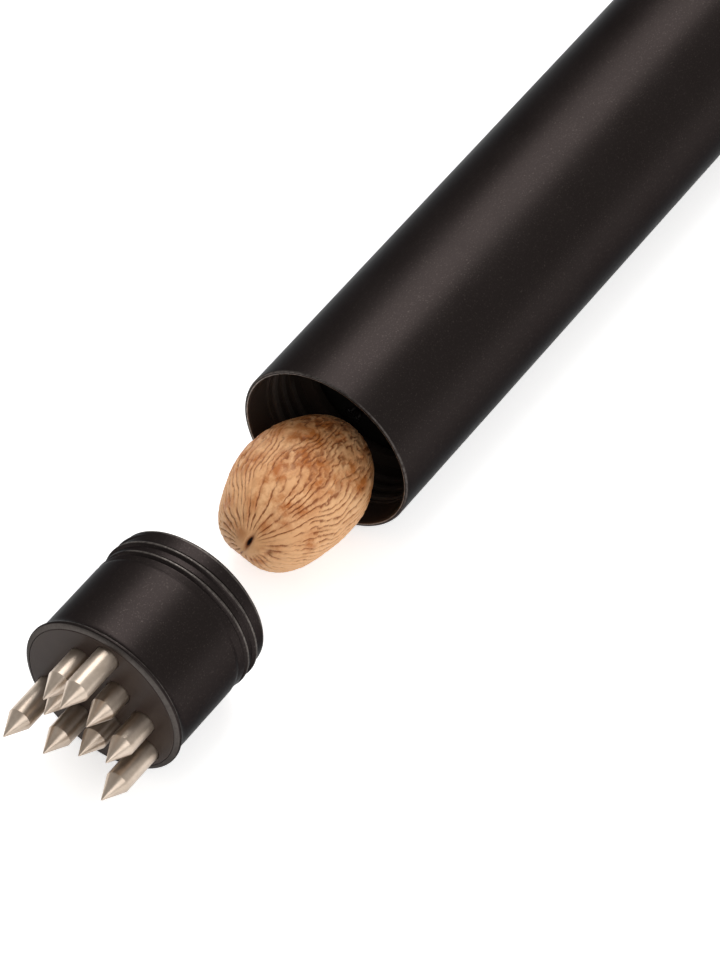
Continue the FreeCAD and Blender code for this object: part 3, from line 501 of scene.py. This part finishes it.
for across, radius in ((0.0, SPINDLE_HOLE_RADIUS), (CRANK_REACH, PIN_HOLE_RADIUS)):
    bpy.ops.object.select_all(action="DESELECT")
    bpy.ops.mesh.primitive_cylinder_add(vertices=48, radius=radius * MM, depth=20 * MM,
                                        location=(0, across * MM, 0), rotation=(0, math.pi / 2, 0))
    hole_tool = bpy.context.object
    bpy.ops.object.transform_apply(location=True, rotation=True, scale=True)
    cut(arm, hole_tool)
moved(arm, (ARM_FACE, 0, 0), ARM_TURN)
smooth(arm)
dress([arm], anodised_aluminium("arm_black_anodising", []))
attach(arm, "spindle")
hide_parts("crank_arm")

# ---- knob ----
# A waisted grip turned from black acetal, which spins on its shouldered steel pin.
KNOB_START = 86.38
KNOB_AT = (CRANK_REACH * math.cos(math.radians(ARM_TURN)), KNOB_UP)
knob = turned("crank_knob", [(KNOB_START + along, radius) for along, radius in (
    (0.0, 3.04), (0.0, 5.2), (0.15, 5.7), (0.5, 6.05), (1.2, 6.25), (2.2, 6.3), (4.2, 6.3),
    (6.0, 6.42), (8.0, 6.8), (10.0, 7.35), (12.0, 7.9), (14.0, 8.3), (16.0, 8.47), (18.0, 8.5),
    (25.6, 8.5), (26.6, 8.36), (27.4, 7.9), (27.86, 7.2), (28.0, 6.5), (28.0, 3.04), (0.0, 3.04))
], KNOB_AT)
smooth(knob, 35.0)


def black_acetal():
    """Turned acetal: deep black plastic with a low waxy sheen and faint tool rings."""
    material, tree = new_material("black_acetal")
    spot = add(tree, "TexCoord", {}).outputs["Object"]
    rings = add(tree, "TexWave", {"Vector": spot, "Scale": math.pi / 10 / (0.3 * MM),
                                  "Distortion": 0.5}, bands_direction="X")
    cloud = add(tree, "TexNoise", {"Vector": spot, "Scale": 0.15 / MM, "Detail": 4.0})
    matt = add(tree, "MapRange", {0: cloud.outputs[0], 1: 0.3, 2: 0.7, 3: 0.34, 4: 0.44})
    shade = add(tree, "Mix", {0: cloud.outputs[0], 6: linear("151515"), 7: linear("1e1d1d")},
                data_type="RGBA")
    grain = add(tree, "Bump", {"Strength": 0.15, "Distance": 0.01 * MM, "Height": rings.outputs[0]})
    surface = add(tree, "BsdfPrincipled", {"Base Color": shade.outputs[2], "IOR": 1.48,
                                           "Roughness": matt.outputs[0], "Specular IOR Level": 0.4,
                                           "Normal": grain.outputs[0]})
    add(tree, "OutputMaterial", {"Surface": surface.outputs[0]})
    return material


dress([knob], black_acetal())
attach(knob, "knob")
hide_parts("knob")

# ---- spiked head ----
# A cup turned from aluminium bar with a coarse thread at its open rim, anodised black. A wide
# chamfer and a low concave flare ring its face, and handling has rubbed the thread's crests.
HEAD_FRONT = -133.12
HEAD_RIM = -110.05
HEAD_AT = (0.15, -1.13)
HEAD_RADIUS = 13.35
FLANGE_RADIUS = 13.87
FACE_RADIUS = 12.95
THREAD_ROOT = 13.1
THREAD_CREST = 13.52
THREAD_SHOULDER = HEAD_RIM - 7.07
CUP_BORE = 11.1
PLATE_SEAT = 12.62
SEAL_GROOVE_INSIDE = 11.48
SEAL_GROOVE_OUTSIDE = 12.22
SEAL_GROOVE_DEPTH = 0.72
head = turned("head_cup", [
    (HEAD_FRONT + 0.04, FACE_RADIUS + 0.03), (HEAD_FRONT + 0.04, FACE_RADIUS + 0.08),
    (HEAD_FRONT + 0.42, FLANGE_RADIUS - 0.10), (HEAD_FRONT + 0.50, FLANGE_RADIUS - 0.03),
    (HEAD_FRONT + 0.60, FLANGE_RADIUS), (HEAD_FRONT + 0.80, FLANGE_RADIUS),
    (HEAD_FRONT + 0.96, FLANGE_RADIUS - 0.08), (HEAD_FRONT + 1.15, FLANGE_RADIUS - 0.24),
    (HEAD_FRONT + 1.45, FLANGE_RADIUS - 0.38), (HEAD_FRONT + 1.9, FLANGE_RADIUS - 0.47),
    (HEAD_FRONT + 2.6, HEAD_RADIUS),
    (THREAD_SHOULDER - 0.7, HEAD_RADIUS), (THREAD_SHOULDER - 0.3, HEAD_RADIUS - 0.05),
    (THREAD_SHOULDER + 0.2, THREAD_ROOT + 0.05), (THREAD_SHOULDER + 0.5, THREAD_ROOT),
    (HEAD_RIM - 0.55, THREAD_ROOT), (HEAD_RIM - 0.2, THREAD_ROOT - 0.06),
    (HEAD_RIM, 12.88), (HEAD_RIM, SEAL_GROOVE_OUTSIDE),
    (HEAD_RIM - SEAL_GROOVE_DEPTH, SEAL_GROOVE_OUTSIDE),
    (HEAD_RIM - SEAL_GROOVE_DEPTH, SEAL_GROOVE_INSIDE), (HEAD_RIM, SEAL_GROOVE_INSIDE),
    (HEAD_RIM, CUP_BORE), (HEAD_FRONT + 5.0, CUP_BORE), (HEAD_FRONT + 5.0, PLATE_SEAT),
    (HEAD_FRONT + 1.3, PLATE_SEAT), (HEAD_FRONT + 1.3, FACE_RADIUS + 0.03),
    (HEAD_FRONT + 0.04, FACE_RADIUS + 0.03),
], HEAD_AT, BARREL_STEPS, 0.03)
RIDGE_START = -115.82
RIDGE_TURNS = 2.2
thread_ridge(head, [
    (RIDGE_START - 0.72, THREAD_ROOT - 0.12), (RIDGE_START - 0.42, THREAD_CREST - 0.22),
    (RIDGE_START - 0.24, THREAD_CREST - 0.06), (RIDGE_START - 0.08, THREAD_CREST),
    (RIDGE_START + 0.08, THREAD_CREST), (RIDGE_START + 0.24, THREAD_CREST - 0.06),
    (RIDGE_START + 0.42, THREAD_CREST - 0.22), (RIDGE_START + 0.72, THREAD_ROOT - 0.12),
], THREAD_ROOT, RIDGE_TURNS, turn=-90.0, at=HEAD_AT)
# the threading tool sinks in over one turn, so the plain body reaches on to the first groove
BODY_END = RIDGE_START - THREAD_PITCH / 6
thread_ridge(head, [
    (BODY_END - 3.3, THREAD_ROOT - 0.12), (BODY_END - 3.2, HEAD_RADIUS - 0.01),
    (BODY_END - 0.95, HEAD_RADIUS - 0.01), (BODY_END - 0.78, HEAD_RADIUS - 0.06),
    (BODY_END - 0.60, THREAD_ROOT - 0.12),
], THREAD_ROOT, 1.0, turn=-150.0, at=HEAD_AT)
smooth(head)
# worn: the thread's crests, the rim's edge, the flange's rear edge, and the wide chamfer
dress([head], anodised_aluminium("head_black_anodising", [
    (THREAD_SHOULDER, HEAD_RIM - 0.6, THREAD_CREST - 0.03, THREAD_CREST + 0.1, 0.38, 0.3),
    (HEAD_RIM - 0.5, HEAD_RIM - 0.12, THREAD_ROOT - 0.15, THREAD_ROOT + 0.04, 0.30, 0.3),
    (HEAD_FRONT + 0.84, HEAD_FRONT + 0.94, FLANGE_RADIUS - 0.2, FLANGE_RADIUS + 0.1, 0.50, 0.15),
    (HEAD_FRONT - 0.1, HEAD_FRONT + 0.42, FACE_RADIUS + 0.07, FLANGE_RADIUS - 0.10, 0.19, 0.7),
], HEAD_AT, inside=12.3))
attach(head, "head")
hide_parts("head_shell")

# ---- spike plate ----
# A thick aluminium disc, turned and anodised, pressed into the head's face. It carries the
# spikes, whose thin tails come through it to hold the nutmeg.
PLATE_BACK = HEAD_FRONT + 5.0
PLATE_RADIUS = 12.6
PLATE_RIM = 1.28
SOCKET_RADIUS = 1.97
SOCKET_MOUTH_RADIUS = 2.13
spike_spots = []
for number in range(1, 10):
    low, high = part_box(f"spike_{number}")
    spike_spots.append(((low.y + high.y) / 2 / MM, (low.z + high.z) / 2 / MM))
plate = turned("spike_plate_disc", [
    (HEAD_FRONT, 0.0), (HEAD_FRONT, FACE_RADIUS - 0.10), (HEAD_FRONT + 0.10, FACE_RADIUS),
    (HEAD_FRONT + PLATE_RIM, FACE_RADIUS), (HEAD_FRONT + PLATE_RIM, PLATE_RADIUS),
    (PLATE_BACK, PLATE_RADIUS), (PLATE_BACK, 0.0),
], HEAD_AT, BARREL_STEPS, 0.04)
# each spike's hole is broken at its edge by a small chamfer
hole_tool = turned("socket_tool", [
    (HEAD_FRONT - 1.0, 0.0), (HEAD_FRONT - 1.0, SOCKET_MOUTH_RADIUS),
    (HEAD_FRONT + 0.01, SOCKET_MOUTH_RADIUS), (HEAD_FRONT + 0.16, SOCKET_RADIUS),
    (PLATE_BACK + 1.0, SOCKET_RADIUS), (PLATE_BACK + 1.0, 0.0),
], spike_spots[0], 64)
first_across, first_up = spike_spots[0]
cut(plate, join([hole_tool] + [
    copied(hole_tool, f"socket_tool_{place}", (0, across - first_across, up - first_up))
    for place, (across, up) in enumerate(spike_spots[1:])]))
smooth(plate)


def plate_anodising_painted_reflection():
    """The plate's finer turned face, anodised like the barrel but painted a lighter brown-black
    than its dye: painted reflection of the spikes and the floor. It is dull, with a faint swirl of
    tool marks.
    """
    material, tree = new_material("plate_black_anodising_painted_reflection")
    spot = add(tree, "TexCoord", {}).outputs["Object"]
    centred = add(tree, "Mapping", {0: spot, 1: (0, -HEAD_AT[0] * MM, -HEAD_AT[1] * MM)})
    rings = add(tree, "TexWave", {
        "Vector": centred.outputs[0], "Scale": math.pi / 10 / (0.3 * MM), "Distortion": 0.3,
    }, wave_type="RINGS", rings_direction="X")
    cloud = add(tree, "TexNoise", {"Vector": spot, "Scale": 0.13 / MM, "Detail": 4.0,
                                   "Roughness": 0.6})
    # a lighter, browner black than the barrel's dye: painted reflection of the spikes and the floor
    shade = add(tree, "Mix", {0: cloud.outputs[0], 6: linear("302624"), 7: linear("41362f")},
                data_type="RGBA")
    grain = add(tree, "Bump", {"Strength": 0.18, "Distance": 0.01 * MM, "Height": rings.outputs[0]})
    surface = add(tree, "BsdfPrincipled", {"Base Color": shade.outputs[2], "Roughness": 0.42,
                                           "Specular IOR Level": 0.12, "Normal": grain.outputs[0]})
    add(tree, "OutputMaterial", {"Surface": surface.outputs[0]})
    return material


dress([plate], plate_anodising_painted_reflection())
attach(plate, "head")
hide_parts("spike_plate")

# ---- spikes ----
# Nine pins of stainless steel bar, turned to sharp points with a crisp corner behind each and
# pressed through the plate; the nearer to the rim, the further they stand out.
SPIKE_RADIUS = 1.95
POINT_LENGTH = 4.0
TAIL_RADIUS = 0.8
TAIL_LENGTH = 2.0


def turned_spike_steel():
    """Freshly turned stainless steel. It looks warm and satin: lights draw out along the pin,
    because the rings that the tool leaves scatter them that way, and faint rings still show."""
    material, tree = new_material("spike_stainless_steel")
    spot = add(tree, "TexCoord", {}).outputs["Object"]
    rings = add(tree, "TexWave", {"Vector": spot, "Scale": math.pi / 10 / (0.22 * MM),
                                  "Distortion": 1.5, "Detail": 3.0, "Detail Scale": 3.0},
                bands_direction="X")
    cloud = add(tree, "TexNoise", {"Vector": spot, "Scale": 0.5 / MM, "Detail": 4.0,
                                   "Roughness": 0.65})
    shade = add(tree, "Mix", {0: cloud.outputs[0], 6: linear("d6c8ba"), 7: linear("a39281")},
                data_type="RGBA")
    along = add(tree, "Tangent", {}, direction_type="RADIAL", axis="X")
    grain = add(tree, "Bump", {"Strength": 0.22, "Distance": 0.01 * MM, "Height": rings.outputs[0]})
    surface = add(tree, "BsdfPrincipled", {
        "Base Color": shade.outputs[2], "Metallic": 1.0, "Roughness": 0.38, "Anisotropic": 0.5,
        "Anisotropic Rotation": 0.25, "Tangent": along.outputs[0], "Normal": grain.outputs[0]})
    add(tree, "OutputMaterial", {"Surface": surface.outputs[0]})
    return material


spike_steel = turned_spike_steel()
# the first spike of each of the three lengths is turned, and the two after it are its copies
for number, (across, up) in enumerate(spike_spots, 1):
    name = f"spike_{number}"
    if number in (1, 4, 7):
        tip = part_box(name)[0].x / MM
        spike = turned(name + "_pin", [
            (tip, 0.0), (tip, 0.06), (tip + 0.12, 0.14), (tip + POINT_LENGTH, SPIKE_RADIUS),
            (PLATE_BACK, SPIKE_RADIUS), (PLATE_BACK, TAIL_RADIUS),
            (PLATE_BACK + TAIL_LENGTH, 0.08), (PLATE_BACK + TAIL_LENGTH, 0.0),
        ], (across, up), steps=64, edge=0.035)
        smooth(spike, 24.0)
        dress([spike], spike_steel)
        pattern, pattern_across, pattern_up = spike, across, up
    else:
        spike = copied(pattern, name + "_pin", (0, across - pattern_across, up - pattern_up))
    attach(spike, "head")
    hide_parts(name)

# ---- seal ring ----
# A moulded nitrile rubber ring, pressed into a groove in the head's rim; it seals the mouth.
SEAL_INSIDE = 11.5
SEAL_OUTSIDE = 12.2
seal = turned("seal_ring_lip", [
    (HEAD_RIM - 0.7, SEAL_INSIDE), (HEAD_RIM - 0.7, SEAL_OUTSIDE),
    (HEAD_RIM + 0.42, SEAL_OUTSIDE), (HEAD_RIM + 0.56, 12.1), (HEAD_RIM + 0.6, 11.94),
    (HEAD_RIM + 0.6, 11.76), (HEAD_RIM + 0.56, 11.6), (HEAD_RIM + 0.42, SEAL_INSIDE),
    (HEAD_RIM - 0.7, SEAL_INSIDE),
], HEAD_AT, BARREL_STEPS, 0.04)
smooth(seal, 40.0)


def nitrile_rubber():
    """Moulded nitrile rubber: matt black with a faint grey bloom."""
    material, tree = new_material("nitrile_rubber")
    spot = add(tree, "TexCoord", {}).outputs["Object"]
    bloom = add(tree, "TexNoise", {"Vector": spot, "Scale": 0.35 / MM, "Detail": 4.0,
                                   "Roughness": 0.6})
    shade = add(tree, "Mix", {0: bloom.outputs[0], 6: linear("131212"), 7: linear("262423")},
                data_type="RGBA")
    grain = add(tree, "Bump", {"Strength": 0.2, "Distance": 0.02 * MM, "Height": bloom.outputs[0]})
    surface = add(tree, "BsdfPrincipled", {"Base Color": shade.outputs[2], "Roughness": 0.7,
                                           "Specular IOR Level": 0.35, "Normal": grain.outputs[0]})
    add(tree, "OutputMaterial", {"Surface": surface.outputs[0]})
    return material


dress([seal], nitrile_rubber())
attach(seal, "seal")
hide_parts("seal_ring")

# ---- nutmeg ----
# A whole dried nutmeg, a little lopsided. Thin wandering furrows run from end to end, split and
# break off, and tangle into a net toward the far end; a slit and a scar mark where it grew.
NUT_HALF = 14.5
NUT_RADIUS = 10.3
NUT_AT = Vector((-81.3, 0.9, -4.7))
DENTS = (  # direction on the seed, depth in mm, how wide
    (Vector((-0.93, 0.11, -0.34)), 0.75, 0.10), (Vector((-0.22, -0.86, -0.47)), 0.62, 0.22),
    (Vector((-0.80, 0.58, -0.02)), -0.22, 0.05), (Vector((0.06, 0.83, 0.55)), -0.25, 0.10),
)
SLIT = Vector((-0.972, -0.0675, 0.2246)).normalized()
SLIT_UP = SLIT.cross(Vector((0, 0.94, 0.34))).normalized()
SLIT_SIDE = SLIT_UP.cross(SLIT)
SCAR = Vector((-0.915, -0.3826, 0.1271)).normalized()
bpy.ops.object.select_all(action="DESELECT")
bpy.ops.mesh.primitive_uv_sphere_add(segments=640, ring_count=152, radius=MM,
                                     rotation=(0, math.pi / 2, 0))
nutmeg = bpy.context.object
nutmeg.name = nutmeg.data.name = "nutmeg_seed"
bpy.ops.object.transform_apply(location=True, rotation=True, scale=True)


def step(low, high, value):
    """0 below low, 1 above high, and an easy rise between."""
    share = max(0.0, min(1.0, (value - low) / (high - low)))
    return share * share * (3 - 2 * share)


def furrows(spot):
    """How far a spot of the unit seed is into a furrow, and into the wider valley round it. They
    start as 26 round the slit, and split until there are 58 round the middle."""
    along = spot.dot(SLIT)
    ring = math.sqrt(max(0.0, 1.0 - along * along))
    tangle = step(-0.15, 0.8, 0.55 * spot.z - 0.55 * along + 0.5 * noise.noise(spot * 1.9) - 0.05)
    across = math.atan2(spot.dot(SLIT_UP), spot.dot(SLIT_SIDE))
    across += 0.16 * noise.noise(spot * 2.0 + Vector((7, 3, 1)))
    across += (0.045 + 0.06 * tangle) * noise.noise(spot * 5.2 + Vector((2, 8, 5)))
    across += (0.030 + 0.03 * tangle) * noise.noise(spot * 15.0)
    across += 0.016 * noise.noise(spot * 34.0)
    few = math.cos(26 * across + 2.2 * noise.noise(spot * 1.4))
    many = math.cos(58 * across + 3.4 * noise.noise(spot * 2.1 + Vector((4, 4, 9))))
    split = step(0.42, 0.78, ring + 0.3 * noise.noise(spot * 4.0))
    field = -(few * (1 - split) + many * split)
    lane = Vector((along * 3.2, math.cos(across) * 9, math.sin(across) * 9))
    kept = step(-0.52, -0.14, noise.noise(lane) + 0.25 * noise.noise(lane * 3.1) - 0.22 * tangle)
    core = step(0.60, 1.0, field + 0.35 * noise.noise(spot * 24.0)) * kept
    fleck = step(0.08, 0.40, noise.noise(Vector((along * 9, math.cos(across) * 17,
                                                 math.sin(across) * 17)))) * tangle
    return max(core, fleck), step(-0.2, 1.0, field) * (0.35 + 0.65 * kept)


depths, browns_and_painted_shade = [], []
for vertex in nutmeg.data.vertices:
    spot = vertex.co.normalized()
    off = spot - SLIT
    collar = step(0.16, 0.36, off.length + 0.10 * noise.noise(spot * 6.0))
    furrow, valley = (share * collar for share in furrows(spot))
    slit = math.exp(-(off.dot(SLIT_SIDE) / 0.038) ** 2 - (off.dot(SLIT_UP) / 0.13) ** 2)
    lip = math.exp(-(off.length / 0.17) ** 2) - slit
    scar = math.exp(-((spot - SCAR).length / 0.055) ** 2)
    stain = math.exp(-((spot - SCAR).length / 0.22) ** 2)
    height = -0.17 * furrow - 0.10 * valley - 0.9 * slit + 0.12 * lip - 0.3 * scar
    height += 0.16 * noise.noise(spot * 2.4 + Vector((2, 9, 4))) + 0.06 * noise.noise(spot * 9.0)
    height += 0.04 * noise.noise(spot * 26.0)
    for toward, depth, width in DENTS:
        height -= depth * math.exp(-(spot - toward.normalized()).length_squared / width)
    body = Vector((spot.x * NUT_HALF, spot.y * NUT_RADIUS, spot.z * NUT_RADIUS))
    out = Vector((spot.x / NUT_HALF, spot.y / NUT_RADIUS, spot.z / NUT_RADIUS)).normalized()
    vertex.co = (NUT_AT + body + out * height) * MM
    vertex.co.z = max(vertex.co.z, -BARREL_RADIUS * MM)
    # the slit's share passes 1, and there the skin is painted near black: painted shade in the slit
    depths.append(max(furrow, 0.28 * valley, 1.0 * scar, 1.9 * slit))
    blush = step(0.20, 0.32, off.length) * step(0.62, 0.36, off.length)
    blush *= step(-0.1, 0.3, noise.noise(spot * 5.0 + Vector((3, 3, 2))))
    # browner toward the end in the mouth, the top and the +Y side: painted shade, laid over real
    # brown blotches
    browns_and_painted_shade.append(max(0.85 * stain, 0.8 * blush, step(-0.3, 0.42, noise.noise(
        spot * 2.6 + Vector((1, 1, 8))) + 0.3 * spot.x + 0.4 * spot.z + 0.15 * spot.y - 0.05)))
for name, values in (("furrow", depths), ("brown", browns_and_painted_shade)):
    layer = nutmeg.data.attributes.new(name, "FLOAT", "POINT")
    layer.data.foreach_set("value", values)
smooth(nutmeg, 75.0)


def nutmeg_skin():
    """The dry seed coat: pale tan and slightly waxy, warmer brown in blotches, with red-brown lines
    down in the furrows and fine flecks between them. The blotches are laid thicker toward the end
    in the mouth, the top and the +Y side, and there they are partly painted shade."""
    material, tree = new_material("dry_nutmeg_seed")
    spot = add(tree, "TexCoord", {}).outputs["Object"]
    furrow = add(tree, "Attribute", {}, attribute_name="furrow").outputs["Fac"]
    brown = add(tree, "Attribute", {}, attribute_name="brown").outputs["Fac"]
    fleck = add(tree, "TexNoise", {"Vector": spot, "Scale": 1.1 / MM, "Detail": 4.0,
                                   "Roughness": 0.7})
    blotch = add(tree, "TexNoise", {"Vector": spot, "Scale": 0.42 / MM, "Detail": 4.0,
                                    "Roughness": 0.65})
    tint = add(tree, "TexNoise", {"Vector": spot, "Scale": 0.12 / MM, "Detail": 3.0})
    patch = add(tree, "MapRange", {0: blotch.outputs[0], 1: 0.36, 2: 0.60})
    warm = add(tree, "Math", {0: patch.outputs[0], 1: brown}, operation="MULTIPLY")
    pale = add(tree, "Mix", {0: tint.outputs[0], 6: linear("f5c796"), 7: linear("e2a46e")},
               data_type="RGBA")
    skin = add(tree, "Mix", {0: warm.outputs[0], 6: pale.outputs[2], 7: linear("bb6f34")},
               data_type="RGBA")
    flecked = add(tree, "MapRange", {0: fleck.outputs[0], 1: 0.56, 2: 0.75, 4: 0.4})
    dotted = add(tree, "Mix", {0: flecked.outputs[0], 6: skin.outputs[2], 7: linear("a8703f")},
                 data_type="RGBA")
    low = add(tree, "MapRange", {0: furrow, 1: 0.02, 2: 0.95, 4: 0.84})
    lined = add(tree, "Mix", {0: low.outputs[0], 6: dotted.outputs[2], 7: linear("8c4c22")},
                data_type="RGBA")
    # past 1, down in the slit, the skin is painted near black: painted shade
    hole = add(tree, "MapRange", {0: furrow, 1: 1.02, 2: 1.30})
    colour = add(tree, "Mix", {0: hole.outputs[0], 6: lined.outputs[2], 7: linear("170c0b")},
                 data_type="RGBA")
    grain = add(tree, "Bump", {"Strength": 0.5, "Distance": 0.10 * MM, "Height": fleck.outputs[0]})
    surface = add(tree, "BsdfPrincipled", {"Base Color": colour.outputs[2], "Roughness": 0.52,
                                           "Specular IOR Level": 0.35, "Normal": grain.outputs[0]})
    add(tree, "OutputMaterial", {"Surface": surface.outputs[0]})
    return material


dress([nutmeg], nutmeg_skin())
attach(nutmeg, "nutmeg")
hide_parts("nutmeg")

# ---- studio ----
# White paper under the grater, a soft box overhead, a weaker one in front, and a pale room that
# is dimmer at the mouth's end. The paper is lifted to white for the camera, its reflections and
# what shows through, and sheds no more light for that.
bpy.ops.object.select_all(action="DESELECT")
bpy.ops.mesh.primitive_plane_add(size=8.0, location=(0, 0, -BARREL_RADIUS * MM))
floor = bpy.context.object
floor.name = "paper_floor"
paper, tree = new_material("white_paper")
path = add(tree, "LightPath", {})
seen = add(tree, "Math", {0: path.outputs["Is Camera Ray"], 1: path.outputs["Is Glossy Ray"]},
           operation="MAXIMUM")
seen = add(tree, "Math", {0: seen.outputs[0], 1: path.outputs["Is Transmission Ray"]},
           operation="MAXIMUM")
lift = add(tree, "Math", {0: seen.outputs[0], 1: 0.55}, operation="MULTIPLY")
surface = add(tree, "BsdfPrincipled", {"Base Color": linear("f8f8f8"), "Roughness": 0.9,
                                       "Specular IOR Level": 0.1, "Emission Color": (1, 1, 1, 1),
                                       "Emission Strength": lift.outputs[0]})
add(tree, "OutputMaterial", {"Surface": surface.outputs[0]})
dress([floor], paper)


def soft_box(name, direction, distance, size, watts, target=(-0.1, 0, 0)):
    """A soft box that faces the target from a direction."""
    toward = Vector(direction).normalized()
    bpy.ops.object.light_add(type="AREA", location=Vector(target) + toward * distance)
    lamp = bpy.context.object
    lamp.name = name
    lamp.rotation_euler = toward.to_track_quat("Z", "Y").to_euler()
    lamp.data.shape = "RECTANGLE"
    lamp.data.size, lamp.data.size_y = size
    lamp.data.energy = watts


soft_box("overhead_soft_box", (0.559, 0.209, 0.802), 1.2, (0.8, 0.8), 7.0)
soft_box("front_soft_box", (-0.45, -0.75, 0.55), 1.3, (1.0, 1.0), 6.0)
world = bpy.data.worlds.new("studio_room")
bpy.context.scene.world = world
world.use_nodes = True
room = add(world.node_tree, "TexCoord", {}).outputs["Generated"]
end = add(world.node_tree, "SeparateXYZ", {0: room}).outputs["X"]
brightness = add(world.node_tree, "MapRange", {0: end, 1: -0.5, 2: 0.5, 3: 0.40, 4: 0.72})
backdrop = world.node_tree.nodes["Background"]
backdrop.inputs["Color"].default_value = (1.0, 0.985, 0.965, 1)
world.node_tree.links.new(brightness.outputs[0], backdrop.inputs["Strength"])

# ---- camera ----
# A long lens above the mouth's end of the table. It looks down at the head's spiked face and
# into the mouth, and aside of the barrel's axis.
LOOKS_DOWN = 47.73
LOOKS_ASIDE = 33.8
bpy.ops.object.camera_add(location=(-0.4946, -0.2873, 0.5526), rotation=(
    math.radians(90 - LOOKS_DOWN), 0, math.radians(LOOKS_ASIDE - 90)))
camera = bpy.context.object
camera.data.lens = 184.95
camera.data.sensor_width = 36.0
camera.data.sensor_fit = "AUTO"
camera.data.clip_end = 20.0
bpy.context.scene.camera = camera
bpy.context.scene.view_settings.view_transform = "Standard"
